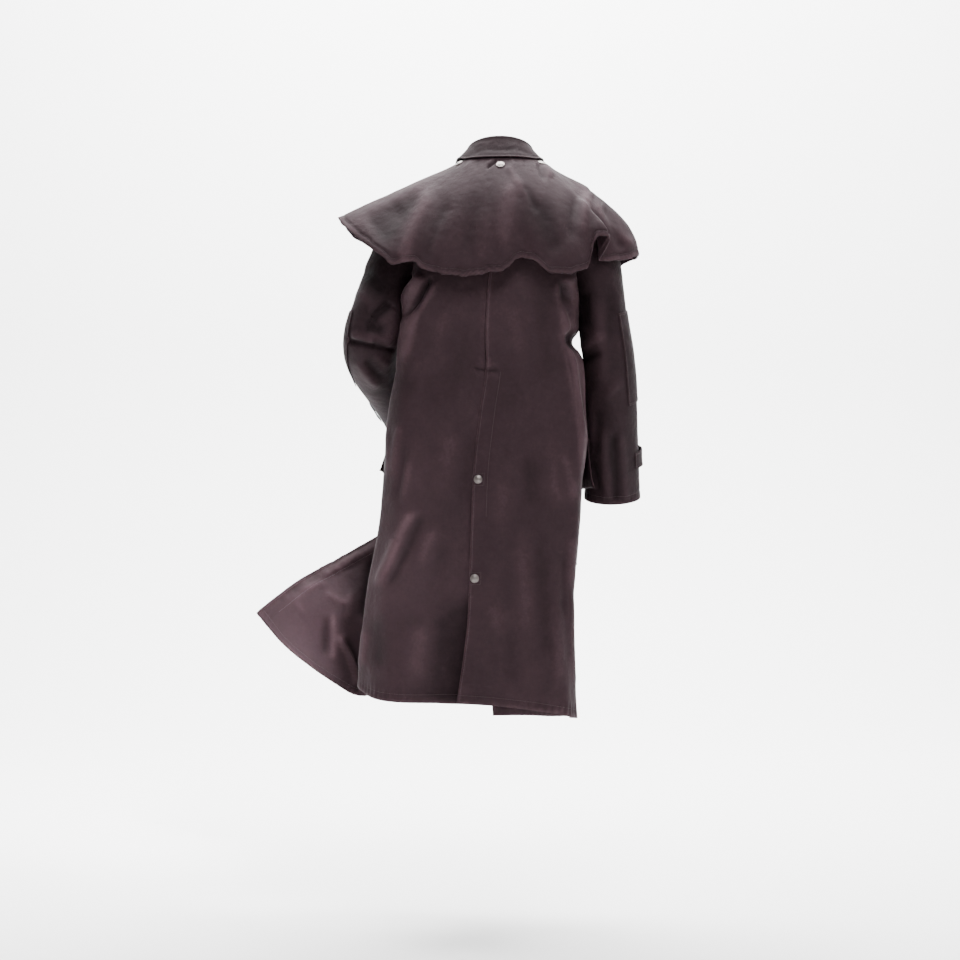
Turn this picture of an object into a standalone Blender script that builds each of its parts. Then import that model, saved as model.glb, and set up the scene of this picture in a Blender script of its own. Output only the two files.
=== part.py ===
"""Duster coat in waxed cotton, worn on a general figure and blown open at its lower left front.

Metres, +Z up. The back of the coat faces +Y and the wearer's left is +X. The origin is the centre of
the neckline, at the height of the nape seam. Every piece is a wall of even thickness around a surface,
which is a function of two parameters. Angles run round the body from the centre back (0) over the left
side (90) to the centre front (180), and over the right side (-90) to the centre front (-180).
"""

import math

import bmesh
import bpy
import numpy as np

# Cloth and seams
CLOTH = 0.0020
PATCH_CLOTH = 0.0014
SEAM_GAP = 0.0003
LAP = 0.0029
PATCH_LIFT = 0.0023
COLLAR_CLOTH = 0.0022

# Heights of the coat's own lines
UNDERARM_Z = -0.320
SHOULDER_Z = -0.104
SHOULDER_GAP = 0.0010
SHOULDER_X = 0.196
NECK_SIDE_X = 0.075
NECK_SIDE_Z = -0.034
NECK_CENTRE_Y = -0.020
NECK_BACK_Y = 0.055
NECK_FRONT_Y = -0.085
NECK_FRONT_Z = -0.072
NECK_SHARE = 0.40
SHOULDER_RISE = 0.006
YOKE_FULLNESS = 2.2
SEAM_SHARE = 0.0008
MEAN_RADIUS = 0.17

# The body below the underarm: how far it reaches to each side, to the back and to the front
BODY_COLUMNS = ("height", "left", "right", "back", "front")
BODY = (
    (-0.32, 0.203, -0.158, 0.148, -0.150),
    (-0.40, 0.213, -0.157, 0.144, -0.148),
    (-0.47, 0.227, -0.174, 0.140, -0.146),
    (-0.54, 0.238, -0.180, 0.142, -0.148),
    (-0.66, 0.244, -0.181, 0.150, -0.158),
    (-0.78, 0.250, -0.174, 0.156, -0.166),
    (-0.92, 0.272, -0.159, 0.160, -0.172),
    (-1.04, 0.287, -0.155, 0.163, -0.176),
    (-1.14, 0.292, -0.158, 0.165, -0.180),
    (-1.25, 0.282, -0.162, 0.166, -0.182),
)
BODY_SQUARENESS = 0.085

# The hem's height round the body
HEM_COLUMNS = ("angle", "height")
HEM = (
    (-190.0, -1.225),
    (-165.0, -1.225),
    (-130.0, -1.222),
    (-90.0, -1.212),
    (-60.0, -1.200),
    (-30.0, -1.182),
    (0.0, -1.166),
    (30.0, -1.163),
    (60.0, -1.152),
    (80.0, -1.134),
    (100.0, -1.138),
    (130.0, -1.184),
    (165.0, -1.212),
    (190.0, -1.210),
)

# Vertical folds of the body, a row for each: where it lies at its top and at the hem, how deep it is
FOLD_FOOT_Z = -1.2
BODY_FOLD_COLUMNS = ("angle at top", "angle at hem", "top", "full from", "depth", "width")
BODY_FOLDS = (
    (66.0, 74.0, -0.42, -0.95, 0.012, 9.0),
    (92.0, 95.0, -0.70, -1.05, -0.020, 9.0),
    (-40.0, -66.0, -0.26, -0.50, 0.008, 8.0),
    (-74.0, -88.0, -0.30, -0.60, -0.010, 9.0),
    (18.0, 34.0, -0.80, -1.15, 0.007, 10.0),
    (-14.0, -30.0, -0.75, -1.15, -0.008, 9.0),
    (-40.0, -52.0, -0.85, -1.15, 0.008, 8.0),
    (-112.0, -116.0, -0.86, -1.15, 0.010, 10.0),
    (-134.0, -138.0, -0.84, -1.10, -0.012, 10.0),
    (-156.0, -158.0, -0.60, -1.10, 0.009, 9.0),
    (116.0, 118.0, -0.86, -1.10, 0.008, 9.0),
)

# Where the arms press the body in: the left upper arm, the bent left forearm and the hanging right arm
DENT_COLUMNS = ("angle", "width", "height", "reach", "depth")
DENTS = (
    (90.0, 24.0, -0.385, 0.070, 0.015),
    (126.0, 30.0, -0.505, 0.125, 0.058),
    (-112.0, 18.0, -0.620, 0.150, 0.012),
)

# Centre back: the seam's line, and the vent below it
BACK_SEAM_COLUMNS = ("height", "angle")
BACK_SEAM = (
    (-0.32, 1.4),
    (-0.455, 0.8),
    (-0.57, 3.1),
    (-0.66, 4.8),
    (-0.78, 4.7),
    (-0.92, 1.9),
    (-1.00, 1.2),
    (-1.07, 2.1),
    (-1.18, 5.2),
)
VENT_TOP = -0.455
VENT_RAMP = 0.045
VENT_UNDERLAP = 15.0
VENT_SINK_TOP = -0.385
VENT_SINK_FROM = 1.5
VENT_SINK_WIDTH = 9.0

# Centre front: each front passes the centre by this angle, and the right edge hangs straight from the waist
FRONT_OVERLAP = 9.0
FRONT_LAP_FROM = 160.0
FRONT_LAP_RAMP = 9.0
RIGHT_EDGE_SHIFT = 18.0
RIGHT_EDGE_SHIFT_TOP = -0.66
RIGHT_EDGE_SHIFT_HEM = -1.20

# The lower left front, turned back by the wind about a fold line. Its cloth is measured from the side seam.
TURN_RADIUS = 0.235
TURN_TOP_Z = -0.52
TURN_FLARE = 1.25
TURN_HEM_Z = -1.19
TURN_HEM_ACROSS = 0.100
TURN_ROLL_TOP = 0.030
TURN_ROLL_HEM = 0.037
TURN_ANGLE_TOP = 40.0
TURN_ANGLE_HEM = 150.0
TURN_OPENS = 0.40
TURN_SAG = 0.012
TURN_SAG_REACH = 0.28

# Armholes
ARMHOLE_DEPTH = 0.076
ARMHOLE_HOLLOW = 0.014

# Sleeves: the middle of the tube and its half sizes, outwards and to the back, from shoulder to cuff
SLEEVE_COLUMNS = ("along", "x", "y", "z", "half width", "half depth")
LEFT_SLEEVE = (
    (0.00, 0.259, 0.028, -0.335, 0.055, 0.070),
    (0.16, 0.273, 0.032, -0.378, 0.055, 0.066),
    (0.34, 0.279, 0.010, -0.420, 0.054, 0.062),
    (0.52, 0.269, -0.044, -0.455, 0.053, 0.059),
    (0.70, 0.249, -0.100, -0.487, 0.053, 0.058),
    (0.85, 0.227, -0.145, -0.518, 0.054, 0.058),
    (1.00, 0.204, -0.188, -0.552, 0.055, 0.059),
)
RIGHT_SLEEVE = (
    (0.00, 0.218, 0.004, -0.345, 0.053, 0.072),
    (0.20, 0.232, -0.006, -0.430, 0.054, 0.069),
    (0.45, 0.241, -0.035, -0.525, 0.055, 0.066),
    (0.72, 0.244, -0.070, -0.630, 0.057, 0.064),
    (1.00, 0.247, -0.098, -0.738, 0.060, 0.062),
)
SLEEVE_START = 0.0025
SLEEVE_LEAD_SHOULDER = (0.80, -0.60)
SLEEVE_LEAD_UNDERARM = (0.52, -0.85)
SLEEVE_SIDES = 20
SLEEVE_STEPS = 11
SLEEVE_CAP_STEPS = 5

# Elbow patches and cuff tabs, in steps of the sleeve's grid: along from and to, round from and to
ELBOW_PATCH_LEFT = (1, 6, -5, 2)
ELBOW_PATCH_RIGHT = (0, 5, -4, 3)
CUFF_TAB_LEFT = (9, 10, -3, 2)
CUFF_TAB_RIGHT = (8, 9, -3, 2)

# Shoulder cape: from its neck edge to its hem, a row for each direction
CAPE_COLUMNS = ("angle", "neck radius", "neck height", "hem radius", "hem height", "fullness")
CAPE = (
    (-152.0, 0.088, -0.062, 0.182, -0.268, 1.7),
    (-130.0, 0.088, -0.052, 0.232, -0.270, 1.9),
    (-108.0, 0.088, -0.034, 0.276, -0.244, 2.0),
    (-90.0, 0.088, -0.019, 0.298, -0.214, 2.0),
    (-74.0, 0.088, -0.016, 0.262, -0.232, 2.0),
    (-56.0, 0.088, -0.013, 0.246, -0.244, 2.0),
    (-36.0, 0.088, -0.012, 0.240, -0.272, 2.1),
    (-14.0, 0.088, -0.012, 0.206, -0.262, 2.4),
    (6.0, 0.088, -0.012, 0.200, -0.270, 2.5),
    (26.0, 0.088, -0.012, 0.218, -0.276, 2.2),
    (44.0, 0.088, -0.013, 0.254, -0.256, 1.7),
    (60.0, 0.088, -0.015, 0.298, -0.222, 1.4),
    (76.0, 0.088, -0.017, 0.338, -0.164, 1.15),
    (86.0, 0.088, -0.019, 0.349, -0.138, 1.05),
    (98.0, 0.088, -0.025, 0.326, -0.166, 1.2),
    (116.0, 0.088, -0.040, 0.280, -0.220, 1.6),
    (134.0, 0.088, -0.054, 0.232, -0.256, 1.9),
    (152.0, 0.088, -0.062, 0.182, -0.266, 1.8),
)
CAPE_FOLD_REACH = 1.07
CAPE_FOLD_COLUMNS = ("angle", "width", "out", "up", "starts")
CAPE_FOLDS = (
    (-57.5, 4.2, 0.024, 0.050, 0.22),
    (-53.0, 2.7, -0.002, 0.040, 0.50),
    (-65.0, 3.9, -0.023, 0.002, 0.30),
    (-14.0, 7.2, -0.013, 0.029, 0.40),
    (53.5, 3.2, 0.006, -0.012, 0.45),
    (45.5, 3.4, -0.006, 0.006, 0.45),
    (-80.0, 4.5, 0.006, -0.004, 0.25),
    (-104.0, 5.0, -0.010, 0.006, 0.30),
    (-122.0, 5.0, 0.010, -0.006, 0.35),
    (108.0, 5.0, -0.008, 0.004, 0.35),
    (126.0, 5.0, 0.010, -0.006, 0.35),
)

CAPE_STOPS = (-152.0, -90.0, -70.0, -50.0, 0.0, 40.0, 60.0, 152.0)
CAPE_STEPS = (9, 4, 10, 7, 5, 5, 13)
CAPE_ROW_STOPS = (0.0, 0.09, 1.0)
CAPE_ROW_STEPS = (2, 8)

# Collar: stand, fold and leaf
COLLAR_COLUMNS = ("angle", "fold radius", "fold height", "leaf radius", "leaf height")
COLLAR = (
    (-163.0, 0.071, -0.030, 0.122, -0.098),
    (-135.0, 0.070, -0.012, 0.116, -0.062),
    (-90.0, 0.067, 0.013, 0.094, -0.013),
    (-45.0, 0.064, 0.028, 0.096, -0.015),
    (0.0, 0.064, 0.033, 0.098, -0.0165),
    (45.0, 0.064, 0.028, 0.096, -0.015),
    (90.0, 0.067, 0.013, 0.094, -0.013),
    (135.0, 0.070, -0.012, 0.116, -0.062),
    (163.0, 0.071, -0.030, 0.122, -0.098),
)
COLLAR_FOLD_RADIUS = 0.0042
COLLAR_STAND_SHARE = 0.38
COLLAR_LEAF_FROM = 0.50
COLLAR_LEAF_CURVE = 1.15
COLLAR_STEPS = (2, 4, 3)
COLLAR_COLUMN_COUNT = 25
COLLAR_SEAT = 0.0015

# The panels' rows from the top edge (-1) over the underarm (0) to the hem (1), and their columns
ROW_STOPS = (-1.0, 0.0, 0.24, 0.325, 0.445, 1.0)
ROW_STEPS = (5, 4, 2, 3, 9)
FRONT_STEPS = (9, 3)
BACK_COLUMN_COUNT = 13

# Pockets on the fronts, in steps of the front's grid: across from and to, down from and to
POCKET = (1, 6, 13, 17)
POCKET_FLAP_LEFT = (0, 6, 12, 14)
POCKET_FLAP_RIGHT = (0, 6, 11, 14)
POCKET_BAG = 0.009
POCKET_MOUTH = 0.15
FLAP_LIFT = 0.0042
FLAP_FLARE_LEFT = 0.008
FLAP_FLARE_RIGHT = 0.022
FLAP_FLARE_FADE = 5.0
FLAP_FLARE_GROWTH = 1.5

# Snaps
SNAP_RADIUS = 0.0090
SNAP_HEIGHT = 0.0040
SNAP_SIDES = 12
SNAP_PROFILE = ((1.0, 0.0), (1.0, 0.35), (0.8, 0.8), (0.45, 1.0))
BODY_MIDDLE_X = 0.03
VENT_SNAP_HEIGHTS = (-0.699, -0.905)
VENT_SNAP_INSET = 3.0
FRONT_SNAP_ANGLE = 180.0
FRONT_SNAP_ROWS = (1, 3, 5, 7)
CAPE_SNAPS = ((0.0, 0.09), (60.0, 0.045), (-60.0, 0.045))

BROWN = (0.062, 0.039, 0.043, 1.0)
DARK_BROWN = (0.045, 0.029, 0.032, 1.0)
PEWTER = (0.42, 0.38, 0.37, 1.0)
CLOTH_ROUGHNESS = 0.6
SNAP_METALLIC = 0.9
SNAP_ROUGHNESS = 0.35
SHARP_ANGLE = 50.0

# Distances for taking slopes: of a surface's parameters, of places on the cloth and along a sleeve
STEP = 1e-4
NEAR = 0.002
SLEEVE_NEAR = 0.01


def clear_scene():
    """Removes whatever the file holds."""
    for thing in list(bpy.data.objects):
        bpy.data.objects.remove(thing, do_unlink=True)


def ease(x):
    """0 below 0, 1 above 1, and a smooth S between."""
    x = np.clip(x, 0.0, 1.0)
    return x * x * (3.0 - 2.0 * x)


def swell(x, centre, width):
    """A soft bump of height 1."""
    return np.exp(-(((x - centre) / width) ** 2))


def smooth_table(x, stations, values):
    """A smooth curve through a table's column, with each station's slope taken from its neighbours."""
    stations = np.asarray(stations, dtype=float)
    values = np.asarray(values, dtype=float)
    if stations[0] > stations[-1]:
        stations = stations[::-1]
        values = values[::-1]
    slopes = np.gradient(values, stations)
    x = np.clip(np.asarray(x, dtype=float), stations[0], stations[-1])
    low = np.clip(np.searchsorted(stations, x, side="right") - 1, 0, len(stations) - 2)
    span = stations[low + 1] - stations[low]
    t = (x - stations[low]) / span
    start = (1 + 2 * t) * (1 - t) ** 2 * values[low] + t * (1 - t) ** 2 * span * slopes[low]
    end = t * t * (3 - 2 * t) * values[low + 1] + t * t * (t - 1) * span * slopes[low + 1]
    return start + end


def column(table, columns, name):
    """One named column of a table."""
    return [row[columns.index(name)] for row in table]


def named_rows(table, columns):
    """A table's rows, each with its values by column name."""
    return [dict(zip(columns, row)) for row in table]


def stack(x, y, z):
    """Points from three arrays, which are spread to one shape."""
    x, y, z = np.broadcast_arrays(x, y, z)
    return np.stack([x, y, z], axis=-1).astype(float)


def unit(v):
    """Vectors of length 1."""
    return v / np.linalg.norm(v, axis=-1, keepdims=True)


def surface_normals(surface, u, v):
    """The normals of a surface from points just beside each one."""
    across = surface(u + STEP, v) - surface(u - STEP, v)
    along = surface(u, v + STEP) - surface(u, v - STEP)
    return unit(np.cross(across, along))


def turn_between(angle, centre):
    """The angle from a centre, from -180 to 180."""
    return (np.asarray(angle, dtype=float) - centre + 180.0) % 360.0 - 180.0


def hem_height(angle):
    """The hem's height at an angle round the body."""
    return smooth_table(angle, column(HEM, HEM_COLUMNS, "angle"), column(HEM, HEM_COLUMNS, "height"))


def body_reach(z, name):
    """How far the body reaches in one direction at a height."""
    return smooth_table(z, column(BODY, BODY_COLUMNS, "height"), column(BODY, BODY_COLUMNS, name))


def body_relief(angle, z):
    """How far the folds and the dent under the forearm move the cloth out, in metres."""
    relief = np.zeros(np.broadcast(angle, z).shape)
    for fold in named_rows(BODY_FOLDS, BODY_FOLD_COLUMNS):
        top = fold["top"]
        share = np.clip((z - top) / (FOLD_FOOT_Z - top), 0.0, 1.0)
        centre = fold["angle at top"] + (fold["angle at hem"] - fold["angle at top"]) * share
        grown = fold["depth"] * ease((z - top) / (fold["full from"] - top))
        relief = relief + grown * swell(turn_between(angle, centre), 0.0, fold["width"])
    for dent in named_rows(DENTS, DENT_COLUMNS):
        round_it = swell(turn_between(angle, dent["angle"]), 0.0, dent["width"])
        relief = relief - dent["depth"] * round_it * swell(z, dent["height"], dent["reach"])
    return relief


def body_at(angle, z):
    """The body's surface at an angle in degrees and a height: a squared oval with its folds."""
    turn = np.radians(angle)
    k = BODY_SQUARENESS
    left = body_reach(z, "left")
    right = body_reach(z, "right")
    back = body_reach(z, "back")
    front = body_reach(z, "front")
    half_width = (left - right) / 2
    half_depth = (back - front) / 2
    side = (np.sin(turn) + k * np.sin(3 * turn)) / (1 - k)
    rear = (np.cos(turn) - k * np.cos(3 * turn)) / (1 - k)
    relief = body_relief(angle, z)
    facing = unit(stack(np.sin(turn) * half_depth, np.cos(turn) * half_width, 0.0 * half_width))
    x = (left + right) / 2 + half_width * side + relief * facing[..., 0]
    y = (back + front) / 2 + half_depth * rear + relief * facing[..., 1]
    return stack(x, y, z)


def neckline(angle):
    """The seam where the body meets the collar: an oval that drops to the front."""
    turn = np.radians(angle)
    cosine = np.cos(turn)
    reach = np.where(cosine > 0, NECK_BACK_Y - NECK_CENTRE_Y, NECK_CENTRE_Y - NECK_FRONT_Y)
    front_drop = NECK_SIDE_Z + (NECK_SIDE_Z - NECK_FRONT_Z) * cosine
    drop = np.where(cosine > 0, NECK_SIDE_Z * (1 - cosine), front_drop)
    return stack(NECK_SIDE_X * np.sin(turn), NECK_CENTRE_Y + reach * cosine, drop)


def armhole(side, rear, s):
    """An armhole's edge from the shoulder (0) to the underarm (1). side and rear are 1 or -1."""
    under = body_at(90.0 * side, UNDERARM_Z)
    bow = np.sin(np.pi * s)
    start = np.array([SHOULDER_X * side, SHOULDER_GAP * rear, SHOULDER_Z])
    straight = start + (under - start) * s[..., None]
    hollow = stack(-side * ARMHOLE_HOLLOW * bow, rear * ARMHOLE_DEPTH * bow, 0.0 * bow)
    return straight + hollow


def back_seam_angle(z):
    """The angle of the centre back line at a height."""
    heights = column(BACK_SEAM, BACK_SEAM_COLUMNS, "height")
    return smooth_table(z, heights, column(BACK_SEAM, BACK_SEAM_COLUMNS, "angle"))


def yoke(side, rear, c, s):
    """A quarter of the body above the underarm, blended from its four edges. c runs from the centre to the
    armhole, s from the top edge to the underarm."""
    middle = back_seam_angle(np.float64(UNDERARM_Z)) if rear > 0 else 180.0 * side
    neck_middle = 0.0 if rear > 0 else 180.0 * side
    c, s = np.broadcast_arrays(np.asarray(c, dtype=float), np.asarray(s, dtype=float))

    def top(c):
        on_neck = neckline(neck_middle + (90.0 * side - neck_middle) * c / NECK_SHARE)
        t = (c - NECK_SHARE) / (1 - NECK_SHARE)
        neck_side = np.array([NECK_SIDE_X * side, NECK_CENTRE_Y, NECK_SIDE_Z])
        shoulder = np.array([SHOULDER_X * side, 0.0, SHOULDER_Z])
        on_shoulder = neck_side + (shoulder - neck_side) * t[..., None]
        on_shoulder[..., 1] += SHOULDER_GAP * rear
        on_shoulder[..., 2] += SHOULDER_RISE * np.sin(np.pi * np.clip(t, 0, 1))
        return np.where((c < NECK_SHARE)[..., None], on_neck, on_shoulder)

    def bottom(c):
        return body_at(middle + (90.0 * side - middle) * c, UNDERARM_Z)

    def centre(s):
        start = neckline(np.float64(neck_middle))
        end = body_at(np.float64(middle), UNDERARM_Z)
        out = 1 - np.abs(1 - s) ** YOKE_FULLNESS
        return stack(
            start[0] + (end[0] - start[0]) * s,
            start[1] + (end[1] - start[1]) * out,
            start[2] + (end[2] - start[2]) * s,
        )

    f = ease(s)[..., None]
    g = ease(np.abs(c))[..., None]
    zero = np.zeros(1)
    one = np.ones(1)
    ruled = (1 - f) * top(c) + f * bottom(c) + (1 - g) * centre(s) + g * armhole(side, rear, s)
    corners = (1 - f) * ((1 - g) * top(zero) + g * top(one)) + f * ((1 - g) * bottom(zero) + g * bottom(one))
    return ruled - corners


def panel_body(side, rear, angle, z_share, c):
    """The body below 0 of z_share from the yoke, and above it from the rings down to the hem."""
    z = UNDERARM_Z + (hem_height(angle) - UNDERARM_Z) * np.clip(z_share, 0.0, None)
    low = body_at(angle, z)
    high = yoke(side, rear, c, np.minimum(z_share, 0.0) + 1.0)
    return np.where((z_share > 0)[..., None], low, high)


def row_height(angle, share):
    """The height of a point of the rings."""
    return UNDERARM_Z + (hem_height(angle) - UNDERARM_Z) * np.clip(share, 0.0, None)


def seam_shift(side):
    """The angle that half a seam gap takes on the body."""
    return side * math.degrees(0.5 * SEAM_GAP / MEAN_RADIUS)


def back_right(u, v):
    """The right back: u from the centre back to the side seam, v from the top edge (-1) to the hem (1)."""
    z = row_height(0.0, v)
    start = back_seam_angle(z) + seam_shift(-1)
    end = -90.0 - seam_shift(-1)
    angle = start + (end - start) * u
    return panel_body(-1, 1, angle, v, u + SEAM_SHARE)


def vent_extension(z):
    """The angle by which the left back runs on under the right one."""
    return VENT_UNDERLAP * ease((VENT_TOP - z) / VENT_RAMP)


def back_left(u, v):
    """The left back: below the vent's top it runs on under the right back."""
    z = row_height(0.0, v)
    seam = back_seam_angle(z)
    start = seam + seam_shift(1) - vent_extension(z)
    end = 90.0 - seam_shift(1)
    angle = start + (end - start) * u
    points = panel_body(1, 1, angle, v, u * (1.0 - SEAM_SHARE) + SEAM_SHARE)
    near_seam = ease(1.0 - (angle - seam - VENT_SINK_FROM) / VENT_SINK_WIDTH)
    sunk = ease((VENT_SINK_TOP - z) / VENT_RAMP) * near_seam
    return points - stack(0.0 * sunk, LAP * sunk, 0.0 * sunk)


def front_right(u, v):
    """The right front: from the side seam past the centre front, under the left front."""
    start = -90.0 + seam_shift(-1)
    z = row_height(180.0, v)
    hung = RIGHT_EDGE_SHIFT * ease((RIGHT_EDGE_SHIFT_TOP - z) / (RIGHT_EDGE_SHIFT_TOP - RIGHT_EDGE_SHIFT_HEM))
    angle = start + (hung - 180.0 - FRONT_OVERLAP - start) * u
    c = 1.0 - (angle + 90.0) / -90.0 - SEAM_SHARE
    return panel_body(-1, -1, angle, v, c)


def front_left_closed(angle, v):
    """The left front as it lies when it is closed, over the right front."""
    c = 1.0 - (angle - 90.0) / 90.0 - SEAM_SHARE
    points = panel_body(1, -1, angle, v, c)
    raised = LAP * ease((angle - FRONT_LAP_FROM) / FRONT_LAP_RAMP)
    return points - stack(0.0 * raised, raised, 0.0 * raised)


def front_left(u, v):
    """The left front: from the side seam to its front edge, which the wind turns back below the waist."""
    start = 90.0 + seam_shift(1)
    angle = start + (180.0 + FRONT_OVERLAP - start) * u
    angle, v = np.broadcast_arrays(angle, v)
    base = front_left_closed(angle, v)
    return turned_back(base, angle, v)


def turned_back(base, angle, v):
    """Bends the cloth beyond the fold line: round a roll, then straight on at the turn angle."""
    width = math.radians(90.0 + FRONT_OVERLAP) * TURN_RADIUS
    across = np.radians(angle - 90.0) * TURN_RADIUS
    z = row_height(angle, v)
    line = np.array([TURN_HEM_ACROSS - width, TURN_HEM_Z - TURN_TOP_Z])
    length = np.linalg.norm(line)
    line = line / length
    off = np.array([-line[1], line[0]])
    t = (across - width) * line[0] + (z - TURN_TOP_Z) * line[1]
    d = (across - width) * off[0] + (z - TURN_TOP_Z) * off[1]
    beyond = np.maximum(d, 0.0) * (1.0 + (TURN_FLARE - 1.0) * np.clip(t / length, 0.0, 1.0))
    foot_across = width + t * line[0]
    foot_z = TURN_TOP_Z + t * line[1]

    def closed(a, z):
        at = 90.0 + np.degrees(a / TURN_RADIUS)
        share = (z - UNDERARM_Z) / (hem_height(at) - UNDERARM_Z)
        return front_left_closed(at, share)

    foot = closed(foot_across, foot_z)
    along_a = unit(closed(foot_across + NEAR, foot_z) - closed(foot_across - NEAR, foot_z))
    along_z = unit(closed(foot_across, foot_z + NEAR) - closed(foot_across, foot_z - NEAR))
    outward = unit(np.cross(along_z, along_a))
    forward = unit(along_a * off[0] + along_z * off[1])
    share = np.clip(t / length, 0.0, 1.0)
    roll = TURN_ROLL_TOP + (TURN_ROLL_HEM - TURN_ROLL_TOP) * share
    turn = np.radians(TURN_ANGLE_TOP + (TURN_ANGLE_HEM - TURN_ANGLE_TOP) * ease(share / TURN_OPENS))
    bent = np.minimum(beyond / roll, turn)
    straight = np.maximum(beyond - roll * turn, 0.0)
    ahead = roll * np.sin(bent) + straight * np.cos(turn)
    away = roll * (1 - np.cos(bent)) + straight * np.sin(turn)
    bowed = TURN_SAG * np.sin(np.pi * np.clip(beyond / TURN_SAG_REACH, 0.0, 1.0))
    turned = foot + forward * ahead[..., None] + outward * (away - bowed)[..., None]
    return np.where((d > 0)[..., None], turned, base)


def sleeve(side, around, along):
    """A sleeve: around runs 0 to 1 from the outside over the back, the inside and the front. From -1 to 0 it
    fans out from the armhole to a level oval, and from 0 to 1 it is ovals round the arm's line."""
    table = LEFT_SLEEVE if side > 0 else RIGHT_SLEEVE
    around, along = np.broadcast_arrays(np.asarray(around, dtype=float), np.asarray(along, dtype=float))

    def size(at, name):
        return smooth_table(at, column(table, SLEEVE_COLUMNS, "along"), column(table, SLEEVE_COLUMNS, name))

    def middle(at):
        return stack(size(at, "x") * side, size(at, "y"), size(at, "z"))

    on_tube = np.clip(along, 0.0, None)
    ahead = np.minimum(on_tube + SLEEVE_NEAR, 1.0)
    behind = np.maximum(on_tube - SLEEVE_NEAR, 0.0)
    heading = unit(middle(ahead) - middle(behind))
    out = np.zeros_like(heading)
    out[..., 0] = side
    out = unit(out - heading * np.sum(out * heading, axis=-1, keepdims=True))
    rear = side * np.cross(out, heading)
    turn = 2 * np.pi * around
    tube = middle(on_tube) + out * (size(on_tube, "half width") * np.cos(turn))[..., None]
    tube = tube + rear * (size(on_tube, "half depth") * np.sin(turn))[..., None]
    wrapped = around % 1.0
    down = np.where(wrapped < 0.5, 2 * wrapped, 2 - 2 * wrapped)
    edge = np.where((wrapped < 0.5)[..., None], armhole(side, 1, down), armhole(side, -1, down))
    edge = edge + np.array([SLEEVE_START * side, 0.0, 0.0])
    reach = np.linalg.norm(tube - edge, axis=-1, keepdims=True)
    lead_x = SLEEVE_LEAD_SHOULDER[0] + (SLEEVE_LEAD_UNDERARM[0] - SLEEVE_LEAD_SHOULDER[0]) * down
    lead_z = SLEEVE_LEAD_SHOULDER[1] + (SLEEVE_LEAD_UNDERARM[1] - SLEEVE_LEAD_SHOULDER[1]) * down
    lead = unit(stack(side * lead_x, 0.0 * lead_x, lead_z))
    t = np.clip(along + 1.0, 0.0, 1.0)[..., None]
    cap = (1 + 2 * t) * (1 - t) ** 2 * edge + t * (1 - t) ** 2 * reach * lead
    cap = cap + t * t * (3 - 2 * t) * tube + t * t * (t - 1) * reach * heading
    return np.where((along < 0)[..., None], cap, tube)


def cape(angle, r):
    """The cape: angle round the neck, r from the neck edge (0) to the hem (1)."""
    angle, r = np.broadcast_arrays(np.asarray(angle, dtype=float), np.asarray(r, dtype=float))
    stations = column(CAPE, CAPE_COLUMNS, "angle")
    neck_radius, neck_z, hem_radius, hem_z, fullness = (
        smooth_table(angle, stations, column(CAPE, CAPE_COLUMNS, name)) for name in CAPE_COLUMNS[1:]
    )
    for fold in named_rows(CAPE_FOLDS, CAPE_FOLD_COLUMNS):
        grown = ease((r - fold["starts"]) / (CAPE_FOLD_REACH - fold["starts"]))
        weight = swell(angle, fold["angle"], fold["width"]) * grown
        hem_radius = hem_radius + fold["out"] * weight
        hem_z = hem_z + fold["up"] * weight
    grown = 1 - np.abs(1 - r) ** fullness
    radius = neck_radius + (hem_radius - neck_radius) * grown
    z = neck_z + (hem_z - neck_z) * r
    turn = np.radians(angle)
    return stack(radius * np.sin(turn), NECK_CENTRE_Y + radius * np.cos(turn), z)


def collar(angle, c):
    """The collar: c runs up the stand, round the fold and down the leaf."""
    angle, c = np.broadcast_arrays(np.asarray(angle, dtype=float), np.asarray(c, dtype=float))
    stations = column(COLLAR, COLLAR_COLUMNS, "angle")
    fold_radius, fold_z, leaf_radius, leaf_z = (
        smooth_table(angle, stations, column(COLLAR, COLLAR_COLUMNS, name)) for name in COLLAR_COLUMNS[1:]
    )
    turn = np.radians(angle)
    seam = neckline(angle)
    seam_radius = np.hypot(seam[..., 0], seam[..., 1] - NECK_CENTRE_Y)
    seam_z = seam[..., 2] + COLLAR_SEAT
    ring = COLLAR_FOLD_RADIUS
    up = np.clip(c / COLLAR_STAND_SHARE, None, 1.0)
    roll = np.pi * np.clip((c - COLLAR_STAND_SHARE) / (COLLAR_LEAF_FROM - COLLAR_STAND_SHARE), 0.0, 1.0)
    down = np.clip((c - COLLAR_LEAF_FROM) / (1 - COLLAR_LEAF_FROM), 0.0, None)
    radius = seam_radius + (fold_radius - ring - seam_radius) * up
    z = seam_z + (fold_z - ring - seam_z) * up
    radius = radius + ring * (1 - np.cos(roll)) + (leaf_radius - fold_radius - ring) * down**COLLAR_LEAF_CURVE
    z = z + ring * np.sin(roll) + (leaf_z - fold_z + ring) * down
    return stack(radius * np.sin(turn), NECK_CENTRE_Y + radius * np.cos(turn), z)


def front(side, u, v):
    """The front of one side."""
    return front_left(u, v) if side > 0 else front_right(u, v)


def standing_off(side, u, v, off):
    """A front's points moved out along its normals."""
    def panel(a, b):
        return front(side, a, b)

    return panel(u, v) + surface_normals(panel, u, v) * side * off[..., None]


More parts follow.
